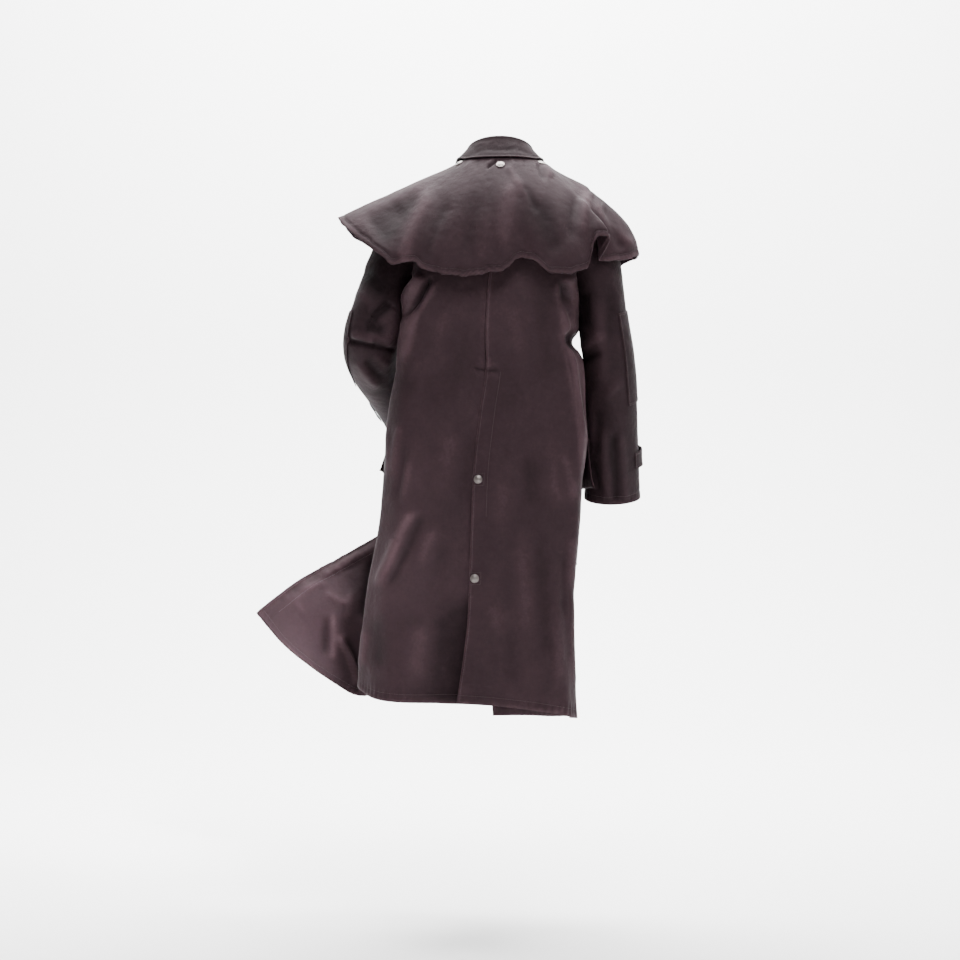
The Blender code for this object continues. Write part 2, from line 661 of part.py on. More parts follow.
def grid_wall(name, surface, us, vs, thickness, colour, closed=False, lift=0.0):
    """A closed wall round a surface: outer and inner sheets at half the thickness, joined along the edges."""
    u, v = np.meshgrid(us, vs, indexing="ij")
    points = surface(u, v)
    normals = surface_normals(surface, u, v)
    outer = points + normals * (lift + thickness / 2)
    inner = points + normals * (lift - thickness / 2)
    wide, tall = u.shape
    count = wide * tall
    number = np.arange(count).reshape(wide, tall)
    columns = range(wide if closed else wide - 1)
    faces = []
    for i in columns:
        j = (i + 1) % wide
        for k in range(tall - 1):
            a, b, c, d = number[i, k], number[j, k], number[j, k + 1], number[i, k + 1]
            faces.append((a, b, c, d))
            faces.append((a + count, d + count, c + count, b + count))
        for k, flip in ((0, False), (tall - 1, True)):
            a, b = number[i, k], number[j, k]
            rim = (a, a + count, b + count, b)
            faces.append(rim[::-1] if flip else rim)
    if not closed:
        for i, flip in ((0, True), (wide - 1, False)):
            for k in range(tall - 1):
                a, b = number[i, k], number[i, k + 1]
                rim = (a, a + count, b + count, b)
                faces.append(rim[::-1] if flip else rim)
    vertices = np.concatenate([outer.reshape(-1, 3), inner.reshape(-1, 3)])
    whole = [tuple(int(n) for n in face) for face in faces]
    return add_object(name, vertices.tolist(), whole, colour, 0.0, CLOTH_ROUGHNESS)


def add_object(name, vertices, faces, colour, metallic, rough):
    """A named object with its own material, with its faces turned outwards."""
    mesh = bpy.data.meshes.new(name)
    mesh.from_pydata(vertices, [], faces)
    work = bmesh.new()
    work.from_mesh(mesh)
    bmesh.ops.recalc_face_normals(work, faces=work.faces)
    work.to_mesh(mesh)
    work.free()
    mesh.shade_smooth()
    mesh.set_sharp_from_angle(angle=math.radians(SHARP_ANGLE))
    material = bpy.data.materials.new(name)
    material.use_nodes = True
    shader = material.node_tree.nodes["Principled BSDF"]
    shader.inputs["Base Color"].default_value = colour
    shader.inputs["Metallic"].default_value = metallic
    shader.inputs["Roughness"].default_value = rough
    mesh.materials.append(material)
    thing = bpy.data.objects.new(name, mesh)
    bpy.context.collection.objects.link(thing)
    return thing


def snap(name, surface, u, v, seat):
    """A domed snap cap, turned round the surface's normal at a point and standing on its outer face."""
    u = np.float64(u)
    v = np.float64(v)
    point = surface(u, v).reshape(3)
    normal = surface_normals(surface, u, v).reshape(3)
    if np.dot(normal, point - np.array([BODY_MIDDLE_X, 0.0, point[2]])) < 0:
        normal = -normal
    first = unit(np.cross(normal, [0.0, 0.0, 1.0]))
    second = np.cross(normal, first)
    base = point + normal * seat
    turn = 2 * np.pi * np.arange(SNAP_SIDES) / SNAP_SIDES
    ring = np.cos(turn)[:, None] * first + np.sin(turn)[:, None] * second
    rings = [base + ring * SNAP_RADIUS * wide + normal * SNAP_HEIGHT * high for wide, high in SNAP_PROFILE]
    vertices = np.concatenate(rings).tolist()
    faces = []
    for level in range(len(SNAP_PROFILE) - 1):
        for i in range(SNAP_SIDES):
            j = (i + 1) % SNAP_SIDES
            low = level * SNAP_SIDES
            high = low + SNAP_SIDES
            faces.append((low + i, low + j, high + j, high + i))
    faces.append(tuple(range(SNAP_SIDES)))
    faces.append(tuple(range((len(SNAP_PROFILE) - 1) * SNAP_SIDES, len(SNAP_PROFILE) * SNAP_SIDES)))
    return add_object(name, vertices, faces, PEWTER, SNAP_METALLIC, SNAP_ROUGHNESS)


def spread(stops, counts):
    """Grid values that step evenly between stops, with a count of steps for each stretch."""
    parts = [np.linspace(a, b, n, endpoint=False) for a, b, n in zip(stops[:-1], stops[1:], counts)]
    return np.concatenate(parts + [np.array([stops[-1]])])


def body_rows():
    """The heights at which every body panel has its rows, so that seams meet point by point."""
    return spread(ROW_STOPS, ROW_STEPS)


def front_columns():
    """Where the fronts have their columns: both have the same ones where they overlap."""
    angles = spread((90.0, 180.0 - FRONT_OVERLAP, 180.0 + FRONT_OVERLAP), FRONT_STEPS)
    return (angles - 90.0) / (90.0 + FRONT_OVERLAP)


def halved(columns):
    """The same columns with one more between each two."""
    return np.sort(np.concatenate([columns, (columns[:-1] + columns[1:]) / 2]))


def build_body():
    """The four panels."""
    rows = body_rows()
    across = np.linspace(0.0, 1.0, BACK_COLUMN_COUNT)
    grid_wall("back_right", back_right, across, rows, CLOTH, BROWN)
    grid_wall("back_left", back_left, across, rows, CLOTH, BROWN)
    grid_wall("front_right", front_right, front_columns(), rows, CLOTH, BROWN)
    grid_wall("front_left", front_left, halved(front_columns()), rows, CLOTH, BROWN)


def build_sleeves():
    """Both sleeves with their elbow patches and cuff tabs."""
    around = np.arange(SLEEVE_SIDES) / SLEEVE_SIDES
    along = np.linspace(0.0, 1.0, SLEEVE_STEPS + 1)
    whole = np.concatenate([np.linspace(-1.0, 0.0, SLEEVE_CAP_STEPS, endpoint=False), along])
    for side, name, elbow, tab in (
        (1, "left", ELBOW_PATCH_LEFT, CUFF_TAB_LEFT),
        (-1, "right", ELBOW_PATCH_RIGHT, CUFF_TAB_RIGHT),
    ):
        def tube(u, v, side=side):
            return sleeve(side, -side * u, v)

        grid_wall(f"sleeve_{name}", tube, around, whole, CLOTH, BROWN, closed=True)
        for piece, box in (("elbow_patch", elbow), ("cuff_tab", tab)):
            start, end, front_step, rear_step = box
            us = np.sort(-side * np.arange(front_step, rear_step + 1) / SLEEVE_SIDES)
            vs = along[start : end + 1]
            grid_wall(f"{piece}_{name}", tube, us, vs, PATCH_CLOTH, DARK_BROWN, lift=PATCH_LIFT)


def build_cape():
    """The cape, with more steps where its folds are."""
    rows = spread(CAPE_ROW_STOPS, CAPE_ROW_STEPS)
    grid_wall("cape", cape, spread(CAPE_STOPS, CAPE_STEPS), rows, CLOTH, BROWN)


def build_collar():
    """The collar."""
    ends = column(COLLAR, COLLAR_COLUMNS, "angle")
    angles = np.linspace(ends[0], ends[-1], COLLAR_COLUMN_COUNT)
    steps = spread((0.0, COLLAR_STAND_SHARE, COLLAR_LEAF_FROM, 1.0), COLLAR_STEPS)
    grid_wall("collar", collar, angles, steps, COLLAR_CLOTH, BROWN)


def build_pockets():
    """Patch pockets and their flaps, made from the fronts' own points moved out."""
    rows = body_rows()
    across = front_columns()
    for side, name, flap_box, flare in (
        (1, "left", POCKET_FLAP_LEFT, FLAP_FLARE_LEFT),
        (-1, "right", POCKET_FLAP_RIGHT, FLAP_FLARE_RIGHT),
    ):
        first, last, top, bottom = POCKET
        us = halved(across[first : last + 1]) if side > 0 else across[first : last + 1]
        vs = rows[top : bottom + 1]

        def bag(u, v, side=side, us=us, vs=vs):
            a = np.clip((u - us[0]) / (us[-1] - us[0]), 0, 1)
            b = np.clip((v - vs[0]) / (vs[-1] - vs[0]), 0, 1)
            inner = np.sin(np.pi * a) * np.sin(np.pi * (POCKET_MOUTH + (1 - POCKET_MOUTH) * b))
            return standing_off(side, u, v, PATCH_LIFT + POCKET_BAG * inner)

        grid_wall(f"pocket_{name}", bag, us, vs, PATCH_CLOTH, DARK_BROWN)
        first, last, top, bottom = flap_box
        flap_us = halved(across[first : last + 1]) if side > 0 else across[first : last + 1]
        flap_vs = rows[top : bottom + 1]

        def flap(u, v, side=side, us=flap_us, vs=flap_vs, flare=flare):
            a = np.clip((u - us[0]) / (us[-1] - us[0]), 0, 1)
            b = np.clip((v - vs[0]) / (vs[-1] - vs[0]), 0, 1)
            over_pocket = POCKET_BAG * np.sin(np.pi * a) * b
            lift = PATCH_LIFT + FLAP_LIFT * b + over_pocket
            return standing_off(side, u, v, lift + flare * (1 - a) ** FLAP_FLARE_FADE * b**FLAP_FLARE_GROWTH)

        grid_wall(f"pocket_flap_{name}", flap, flap_us, flap_vs, PATCH_CLOTH, DARK_BROWN)


def build_snaps():
    """Snaps of the vent, the front and the cape. The last two lie on points of the panels' own grids."""
    seat = CLOTH / 2 + SEAM_GAP
    for number, z in enumerate(VENT_SNAP_HEIGHTS, start=1):
        angle = float(back_seam_angle(np.float64(z))) - VENT_SNAP_INSET
        snap(f"vent_snap_{number}", body_at, angle, z, seat)
    rows = body_rows()
    for number, row in enumerate(FRONT_SNAP_ROWS, start=1):
        snap(f"front_snap_{number}", front_left_closed, FRONT_SNAP_ANGLE, rows[row], seat)
    for number, (angle, r) in enumerate(CAPE_SNAPS, start=1):
        snap(f"cape_snap_{number}", cape, angle, r, seat)


def main():
    clear_scene()
    build_body()
    build_sleeves()
    build_cape()
    build_collar()
    build_pockets()
    build_snaps()


main()
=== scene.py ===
"""Duster coat in waxed cotton: the finished cloth, seams, sewing and snaps, laid round the solids.

Metres, +Z up. The coat's back faces +Y and its own left is +X. Angles run round the body from the centre
back (0) over the left side (90) to the centre front (180), and over the right side (-90) to -180.
Every cloth piece is a surface of two parameters on a dense grid. Its creases are strokes laid on it.
"""

import math

import bpy
import numpy as np
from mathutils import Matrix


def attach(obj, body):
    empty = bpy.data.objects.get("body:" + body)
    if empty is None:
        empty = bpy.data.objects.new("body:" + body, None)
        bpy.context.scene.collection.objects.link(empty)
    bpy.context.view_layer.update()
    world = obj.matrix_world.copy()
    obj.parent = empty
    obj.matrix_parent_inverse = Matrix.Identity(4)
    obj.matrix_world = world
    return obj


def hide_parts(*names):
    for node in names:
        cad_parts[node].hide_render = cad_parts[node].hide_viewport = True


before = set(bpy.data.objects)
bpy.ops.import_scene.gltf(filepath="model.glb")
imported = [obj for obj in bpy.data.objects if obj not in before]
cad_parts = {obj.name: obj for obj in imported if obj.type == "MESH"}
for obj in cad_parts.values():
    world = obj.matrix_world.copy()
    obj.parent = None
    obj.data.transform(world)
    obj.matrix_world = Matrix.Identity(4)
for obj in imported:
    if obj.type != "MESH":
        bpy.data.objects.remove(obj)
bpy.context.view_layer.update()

# Cloth and seams
CLOTH = 0.0020
PATCH_CLOTH = 0.0014
SEAM_GAP = 0.0003
LAP = 0.0029
PATCH_LIFT = 0.0023
COLLAR_CLOTH = 0.0022

# Heights of the coat's own lines
UNDERARM_Z = -0.320
SHOULDER_Z = -0.104
SHOULDER_GAP = 0.0010
SHOULDER_X = 0.196
NECK_SIDE_X = 0.075
NECK_SIDE_Z = -0.034
NECK_CENTRE_Y = -0.020
NECK_BACK_Y = 0.055
NECK_FRONT_Y = -0.085
NECK_FRONT_Z = -0.072
NECK_SHARE = 0.40
SHOULDER_RISE = 0.006
YOKE_FULLNESS = 2.2
SEAM_SHARE = 0.0008
MEAN_RADIUS = 0.17

# The body below the underarm: how far it reaches to each side, to the back and to the front
BODY_COLUMNS = ("height", "left", "right", "back", "front")
BODY = (
    (-0.32, 0.203, -0.158, 0.148, -0.150),
    (-0.40, 0.213, -0.157, 0.144, -0.148),
    (-0.47, 0.227, -0.174, 0.140, -0.146),
    (-0.54, 0.238, -0.180, 0.142, -0.148),
    (-0.66, 0.244, -0.181, 0.150, -0.158),
    (-0.78, 0.250, -0.174, 0.156, -0.166),
    (-0.92, 0.272, -0.159, 0.160, -0.172),
    (-1.04, 0.287, -0.155, 0.163, -0.176),
    (-1.14, 0.292, -0.158, 0.165, -0.180),
    (-1.25, 0.282, -0.162, 0.166, -0.182),
)
BODY_SQUARENESS = 0.085

# The hem's height round the body
HEM_COLUMNS = ("angle", "height")
HEM = (
    (-190.0, -1.225),
    (-165.0, -1.225),
    (-130.0, -1.222),
    (-90.0, -1.212),
    (-60.0, -1.200),
    (-30.0, -1.182),
    (0.0, -1.166),
    (30.0, -1.163),
    (60.0, -1.152),
    (80.0, -1.134),
    (100.0, -1.138),
    (130.0, -1.184),
    (165.0, -1.212),
    (190.0, -1.210),
)

# Vertical folds of the body, a row for each: where it lies at its top and at the hem, how deep it is
FOLD_FOOT_Z = -1.2
BODY_FOLD_COLUMNS = ("angle at top", "angle at hem", "top", "full from", "depth", "width")
BODY_FOLDS = (
    (66.0, 74.0, -0.42, -0.95, 0.012, 9.0),
    (92.0, 95.0, -0.70, -1.05, -0.020, 9.0),
    (-40.0, -66.0, -0.26, -0.50, 0.008, 8.0),
    (-74.0, -88.0, -0.30, -0.60, -0.010, 9.0),
    (18.0, 34.0, -0.80, -1.15, 0.007, 10.0),
    (-14.0, -30.0, -0.75, -1.15, -0.008, 9.0),
    (-40.0, -52.0, -0.85, -1.15, 0.008, 8.0),
    (-112.0, -116.0, -0.86, -1.15, 0.010, 10.0),
    (-134.0, -138.0, -0.84, -1.10, -0.012, 10.0),
    (-156.0, -158.0, -0.60, -1.10, 0.009, 9.0),
    (116.0, 118.0, -0.86, -1.10, 0.008, 9.0),
)

# Where the sleeves press the body in: the left one above and below its elbow, and the right one
DENT_COLUMNS = ("angle", "width", "height", "reach", "depth")
DENTS = (
    (90.0, 24.0, -0.385, 0.070, 0.015),
    (126.0, 30.0, -0.505, 0.125, 0.058),
    (-112.0, 18.0, -0.620, 0.150, 0.012),
)

# Centre back: the seam's line, and the vent below it
BACK_SEAM_COLUMNS = ("height", "angle")
BACK_SEAM = (
    (-0.32, 1.4),
    (-0.455, 0.8),
    (-0.57, 3.1),
    (-0.66, 4.8),
    (-0.78, 4.7),
    (-0.92, 1.9),
    (-1.00, 1.2),
    (-1.07, 2.1),
    (-1.18, 5.2),
)
VENT_TOP = -0.455
VENT_RAMP = 0.045
VENT_UNDERLAP = 15.0
VENT_SINK_TOP = -0.385
VENT_SINK_FROM = 1.5
VENT_SINK_WIDTH = 9.0

# Centre front: each front passes the centre by this angle, and the right edge hangs straight from the waist
FRONT_OVERLAP = 9.0
FRONT_LAP_FROM = 160.0
FRONT_LAP_RAMP = 9.0
RIGHT_EDGE_SHIFT = 18.0
RIGHT_EDGE_SHIFT_TOP = -0.66
RIGHT_EDGE_SHIFT_HEM = -1.20

# The lower left front, turned back by the wind about a fold line. Its cloth is measured from the side seam.
TURN_RADIUS = 0.235
TURN_TOP_Z = -0.52
TURN_FLARE = 1.25
TURN_HEM_Z = -1.19
TURN_HEM_ACROSS = 0.100
TURN_ROLL_TOP = 0.030
TURN_ROLL_HEM = 0.037
TURN_ANGLE_TOP = 40.0
TURN_ANGLE_HEM = 150.0
TURN_OPENS = 0.40
TURN_SAG = 0.012
TURN_SAG_REACH = 0.28

# Armholes
ARMHOLE_DEPTH = 0.076
ARMHOLE_HOLLOW = 0.014

# Sleeves: the middle of the tube and its half sizes, outwards and to the back, from shoulder to cuff
SLEEVE_COLUMNS = ("along", "x", "y", "z", "half width", "half depth")
LEFT_SLEEVE = (
    (0.00, 0.259, 0.028, -0.335, 0.055, 0.070),
    (0.16, 0.273, 0.032, -0.378, 0.055, 0.066),
    (0.34, 0.279, 0.010, -0.420, 0.054, 0.062),
    (0.52, 0.269, -0.044, -0.455, 0.053, 0.059),
    (0.70, 0.249, -0.100, -0.487, 0.053, 0.058),
    (0.85, 0.227, -0.145, -0.518, 0.054, 0.058),
    (1.00, 0.204, -0.188, -0.552, 0.055, 0.059),
)
RIGHT_SLEEVE = (
    (0.00, 0.218, 0.004, -0.345, 0.053, 0.072),
    (0.20, 0.232, -0.006, -0.430, 0.054, 0.069),
    (0.45, 0.241, -0.035, -0.525, 0.055, 0.066),
    (0.72, 0.244, -0.070, -0.630, 0.057, 0.064),
    (1.00, 0.247, -0.098, -0.738, 0.060, 0.062),
)
SLEEVE_START = 0.0025
SLEEVE_LEAD_SHOULDER = (0.80, -0.60)
SLEEVE_LEAD_UNDERARM = (0.52, -0.85)
SLEEVE_SIDES = 20
SLEEVE_STEPS = 11

# Elbow patches and cuff tabs, in steps of the sleeve's grid: along from and to, round from and to
ELBOW_PATCH_LEFT = (1, 6, -5, 2)
ELBOW_PATCH_RIGHT = (0, 5, -4, 3)
CUFF_TAB_LEFT = (9, 10, -3, 2)
CUFF_TAB_RIGHT = (8, 9, -3, 2)

# Shoulder cape: from its neck edge to its hem, a row for each direction
CAPE_COLUMNS = ("angle", "neck radius", "neck height", "hem radius", "hem height", "fullness")
CAPE = (
    (-152.0, 0.088, -0.062, 0.182, -0.268, 1.7),
    (-130.0, 0.088, -0.052, 0.232, -0.270, 1.9),
    (-108.0, 0.088, -0.034, 0.276, -0.244, 2.0),
    (-90.0, 0.088, -0.019, 0.298, -0.214, 2.0),
    (-74.0, 0.088, -0.016, 0.262, -0.232, 2.0),
    (-56.0, 0.088, -0.013, 0.246, -0.244, 2.0),
    (-36.0, 0.088, -0.012, 0.240, -0.272, 2.1),
    (-14.0, 0.088, -0.012, 0.206, -0.262, 2.4),
    (6.0, 0.088, -0.012, 0.200, -0.270, 2.5),
    (26.0, 0.088, -0.012, 0.218, -0.276, 2.2),
    (44.0, 0.088, -0.013, 0.254, -0.256, 1.7),
    (60.0, 0.088, -0.015, 0.298, -0.222, 1.4),
    (76.0, 0.088, -0.017, 0.338, -0.164, 1.15),
    (86.0, 0.088, -0.019, 0.349, -0.138, 1.05),
    (98.0, 0.088, -0.025, 0.326, -0.166, 1.2),
    (116.0, 0.088, -0.040, 0.280, -0.220, 1.6),
    (134.0, 0.088, -0.054, 0.232, -0.256, 1.9),
    (152.0, 0.088, -0.062, 0.182, -0.266, 1.8),
)
CAPE_FOLD_REACH = 1.07
CAPE_FOLD_COLUMNS = ("angle", "width", "out", "up", "starts")
CAPE_FOLDS = (
    (-57.5, 4.2, 0.024, 0.050, 0.22),
    (-53.0, 2.7, -0.002, 0.040, 0.50),
    (-65.0, 3.9, -0.023, 0.002, 0.30),
    (-14.0, 7.2, -0.013, 0.029, 0.40),
    (53.5, 3.2, 0.006, -0.012, 0.45),
    (45.5, 3.4, -0.006, 0.006, 0.45),
    (-80.0, 4.5, 0.006, -0.004, 0.25),
    (-104.0, 5.0, -0.010, 0.006, 0.30),
    (-122.0, 5.0, 0.010, -0.006, 0.35),
    (108.0, 5.0, -0.008, 0.004, 0.35),
    (126.0, 5.0, 0.010, -0.006, 0.35),
)

# Collar: stand, fold and leaf
COLLAR_COLUMNS = ("angle", "fold radius", "fold height", "leaf radius", "leaf height")
COLLAR = (
    (-163.0, 0.071, -0.030, 0.122, -0.098),
    (-135.0, 0.070, -0.012, 0.116, -0.062),
    (-90.0, 0.067, 0.013, 0.094, -0.013),
    (-45.0, 0.064, 0.028, 0.096, -0.015),
    (0.0, 0.064, 0.033, 0.098, -0.0165),
    (45.0, 0.064, 0.028, 0.096, -0.015),
    (90.0, 0.067, 0.013, 0.094, -0.013),
    (135.0, 0.070, -0.012, 0.116, -0.062),
    (163.0, 0.071, -0.030, 0.122, -0.098),
)
COLLAR_FOLD_RADIUS = 0.0042
COLLAR_STAND_SHARE = 0.38
COLLAR_LEAF_FROM = 0.50
COLLAR_LEAF_CURVE = 1.15
COLLAR_SEAT = 0.0015

# The panels' rows from the top edge (-1) over the underarm (0) to the hem (1), and their columns
ROW_STOPS = (-1.0, 0.0, 0.24, 0.325, 0.445, 1.0)
ROW_STEPS = (5, 4, 2, 3, 9)
FRONT_STEPS = (9, 3)

# Pockets on the fronts, in steps of the front's grid: across from and to, down from and to
POCKET = (1, 6, 13, 17)
POCKET_FLAP_LEFT = (0, 6, 12, 14)
POCKET_FLAP_RIGHT = (0, 6, 11, 14)
POCKET_BAG = 0.009
POCKET_MOUTH = 0.15
FLAP_LIFT = 0.0042
FLAP_FLARE_LEFT = 0.008
FLAP_FLARE_RIGHT = 0.022
FLAP_FLARE_FADE = 5.0
FLAP_FLARE_GROWTH = 1.5

# Snaps
SNAP_RADIUS = 0.0090
SNAP_HEIGHT = 0.0040
VENT_SNAP_HEIGHTS = (-0.699, -0.905)
FRONT_SNAP_ANGLE = 180.0
FRONT_SNAP_ROWS = (1, 3, 5, 7)
CAPE_SNAPS = ((0.0, 0.09), (60.0, 0.045), (-60.0, 0.045))

# Colours of the cloth, from its troughs in painted shade to its ridges in painted highlight and its rubbed
# edges
DEEP = (0.0095, 0.0050, 0.0064, 1.0)
MIDDLE = (0.0270, 0.0146, 0.0182, 1.0)
LIGHT = (0.0680, 0.0395, 0.0465, 1.0)

# What makes the cloth paler, and by how much: the relief paints highlight on ridges and shade in troughs, and
# the edges' wear also carries the painted shade of the sleeves and the collar
PALER = {"relief_shading": 0.30, "cloudy": 0.55, "worn": 0.16, "speckle": 0.16, "wrinkle": 0.05, "all": 0.40}

# How much painted shade darkens the sleeves and the collar, on the scale of the edges' wear
SLEEVE_PAINTED_SHADE = 1.4
COLLAR_PAINTED_SHADE = 1.3

# How far the coat's sides stand out beyond their panels at each height, where cloth bunches by the sleeves
SIDE_COLUMNS = ("height", "left", "right")
SIDE_BULGE = (
    (-0.700, 0.000, 0.000),
    (-0.620, 0.000, 0.009),
    (-0.520, 0.000, 0.011),
    (-0.475, 0.000, 0.014),
    (-0.445, 0.004, 0.015),
    (-0.425, 0.009, 0.010),
    (-0.408, 0.012, 0.001),
    (-0.396, 0.012, 0.004),
    (-0.386, 0.012, 0.013),
    (-0.350, 0.011, 0.014),
    (-0.310, 0.007, 0.008),
    (-0.270, 0.003, 0.004),
    (-0.230, 0.000, 0.000),
)

# How far the left sleeve's inner side stands out by the body, round which height and how far from it
SLEEVE_INSIDE = 0.009
SLEEVE_INSIDE_Z = -0.375
SLEEVE_INSIDE_REACH = 0.050

# How much longer the cape is in places, as shares of its length: each tongue has an angle, a half width and
# a share, and each wave of the hem has a period in degrees, a share and a start in radians
CAPE_TONGUES = ((-14.0, 4.0, 0.030), (-8.0, 3.5, -0.030), (-20.5, 3.5, -0.030))
CAPE_WAVES = ((9.7, 0.0045, 0.4), (5.3, 0.0030, 1.9), (21.0, 0.0035, 3.0))
CAPE_LONGER_GROWTH = 8

# Snap caps: the profile as shares of the radius and of the height, and how deep a cap sits in the cloth
SNAP_SINK = 0.0004
SNAP_FINE_SIDES = 40
SNAP_CAP = (
    (0.96, 0.00),
    (1.00, 0.12),
    (1.01, 0.30),
    (0.97, 0.52),
    (0.90, 0.62),
    (0.83, 0.60),
    (0.78, 0.56),
    (0.70, 0.66),
    (0.52, 0.84),
    (0.30, 0.96),
    (0.10, 1.00),
)

# The vent: how far its snaps lie from its edge, the square sewn round each, and where its facing is sewn
VENT_SNAP_IN = 0.0112
VENT_SQUARE_HALF = 0.0125
VENT_ROW = 0.36
VENT_FACING_ROW = 0.64
VENT_FACING_SHARE = 0.56

# Sleeve seams, as shares of the way round, with a second row of stitches beside the first, and the cuff
# tabs' bow
SLEEVE_SEAM_LEFT = 0.93
SLEEVE_SEAM_RIGHT = 0.07
SLEEVE_SEAM_PAIR = 0.018
SLEEVE_SEAM_RUN = (-0.9, 0.995)
TAB_BOW = 0.0065

# The stage: the floor's height, its half width, where it begins, where it bends up, how round, and the wall
FLOOR_Z = -1.66
FLOOR_HALF_WIDTH = 9.0
FLOOR_FRONT_Y = 9.0
FLOOR_BEND_Y = -3.0
FLOOR_BEND = 1.5
FLOOR_BEND_STEPS = 24
WALL_HEIGHT = 8.0
FLOOR_GREYS = ((0.90, 0.90, 0.90, 1.0), (0.93, 0.93, 0.93, 1.0))

# The camera's focal length and sensor width in millimetres
LENS = 87.2
SENSOR = 36.0

# Lights: the surround's strength, then each lamp's name, place, aim, size, power and spread in degrees
SURROUND = 0.15
LIGHTS = (
    ("key", (-0.55, 2.65, 3.2), (0.03, 0.0, -0.55), 1.8, 262.0, 180.0),
    ("top", (0.0, 0.7, 2.4), (0.03, 0.0, -0.55), 1.4, 8.0, 180.0),
    ("fill", (-1.2, 4.6, 0.2), (0.03, 0.0, -0.80), 2.6, 24.0, 180.0),
    ("left_edge", (2.6, -1.9, 0.4), (0.05, 0.0, -0.70), 2.2, 9.0, 180.0),
    ("right_edge", (-2.6, -1.9, 0.4), (0.0, 0.0, -0.70), 2.2, 9.0, 180.0),
    ("low", (-0.30, 2.3, 0.1), (0.56, 0.0, -0.95), 0.3, 2.7, 15.0),
    ("backdrop", (0.0, -1.7, 3.6), (0.0, -4.6, 0.2), 4.0, 1900.0, 180.0),
)

# Distances for taking slopes: of places on the cloth and along a sleeve, and one that keeps a stitch's
# direction from having no length
NEAR = 0.002
SLEEVE_NEAR = 0.01
TINY = 1e-9


def ease(x):
    """0 below 0, 1 above 1, and a smooth S between."""
    x = np.clip(x, 0.0, 1.0)
    return x * x * (3.0 - 2.0 * x)


def swell(x, centre, width):
    """A soft bump of height 1."""
    return np.exp(-(((x - centre) / width) ** 2))


def smooth_table(x, stations, values):
    """A smooth curve through a table's column, with each station's slope taken from its neighbours."""
    stations = np.asarray(stations, dtype=float)
    values = np.asarray(values, dtype=float)
    if stations[0] > stations[-1]:
        stations = stations[::-1]
        values = values[::-1]
    slopes = np.gradient(values, stations)
    x = np.clip(np.asarray(x, dtype=float), stations[0], stations[-1])
    low = np.clip(np.searchsorted(stations, x, side="right") - 1, 0, len(stations) - 2)
    span = stations[low + 1] - stations[low]
    t = (x - stations[low]) / span
    start = (1 + 2 * t) * (1 - t) ** 2 * values[low] + t * (1 - t) ** 2 * span * slopes[low]
    end = t * t * (3 - 2 * t) * values[low + 1] + t * t * (t - 1) * span * slopes[low + 1]
    return start + end


def column(table, columns, name):
    """One named column of a table."""
    return [row[columns.index(name)] for row in table]


def named_rows(table, columns):
    """A table's rows, each with its values by column name."""
    return [dict(zip(columns, row)) for row in table]


def stack(x, y, z):
    """Points from three arrays, which are spread to one shape."""
    x, y, z = np.broadcast_arrays(x, y, z)
    return np.stack([x, y, z], axis=-1).astype(float)


def unit(v):
    """Vectors of length 1."""
    return v / np.linalg.norm(v, axis=-1, keepdims=True)


def turn_between(angle, centre):
    """The angle from a centre, from -180 to 180."""
    return (np.asarray(angle, dtype=float) - centre + 180.0) % 360.0 - 180.0


def hem_height(angle):
    """The hem's height at an angle round the body."""
    return smooth_table(angle, column(HEM, HEM_COLUMNS, "angle"), column(HEM, HEM_COLUMNS, "height"))


def body_reach(z, name):
    """How far the body reaches in one direction at a height."""
    return smooth_table(z, column(BODY, BODY_COLUMNS, "height"), column(BODY, BODY_COLUMNS, name))


def body_relief(angle, z):
    """How far the folds and the dents beside the sleeves move the cloth out, in metres."""
    relief = np.zeros(np.broadcast(angle, z).shape)
    for fold in named_rows(BODY_FOLDS, BODY_FOLD_COLUMNS):
        top = fold["top"]
        share = np.clip((z - top) / (FOLD_FOOT_Z - top), 0.0, 1.0)
        centre = fold["angle at top"] + (fold["angle at hem"] - fold["angle at top"]) * share
        grown = fold["depth"] * ease((z - top) / (fold["full from"] - top))
        relief = relief + grown * swell(turn_between(angle, centre), 0.0, fold["width"])
    for dent in named_rows(DENTS, DENT_COLUMNS):
        round_it = swell(turn_between(angle, dent["angle"]), 0.0, dent["width"])
        relief = relief - dent["depth"] * round_it * swell(z, dent["height"], dent["reach"])
    return relief


def body_at(angle, z):
    """The body's surface at an angle in degrees and a height: a squared oval with its folds."""
    turn = np.radians(angle)
    k = BODY_SQUARENESS
    left = body_reach(z, "left")
    right = body_reach(z, "right")
    back = body_reach(z, "back")
    front = body_reach(z, "front")
    half_width = (left - right) / 2
    half_depth = (back - front) / 2
    side = (np.sin(turn) + k * np.sin(3 * turn)) / (1 - k)
    rear = (np.cos(turn) - k * np.cos(3 * turn)) / (1 - k)
    relief = body_relief(angle, z)
    facing = unit(stack(np.sin(turn) * half_depth, np.cos(turn) * half_width, 0.0 * half_width))
    x = (left + right) / 2 + half_width * side + relief * facing[..., 0]
    y = (back + front) / 2 + half_depth * rear + relief * facing[..., 1]
    return stack(x, y, z)


def neckline(angle):
    """The seam where the body meets the collar: an oval that drops to the front."""
    turn = np.radians(angle)
    cosine = np.cos(turn)
    reach = np.where(cosine > 0, NECK_BACK_Y - NECK_CENTRE_Y, NECK_CENTRE_Y - NECK_FRONT_Y)
    front_drop = NECK_SIDE_Z + (NECK_SIDE_Z - NECK_FRONT_Z) * cosine
    drop = np.where(cosine > 0, NECK_SIDE_Z * (1 - cosine), front_drop)
    return stack(NECK_SIDE_X * np.sin(turn), NECK_CENTRE_Y + reach * cosine, drop)


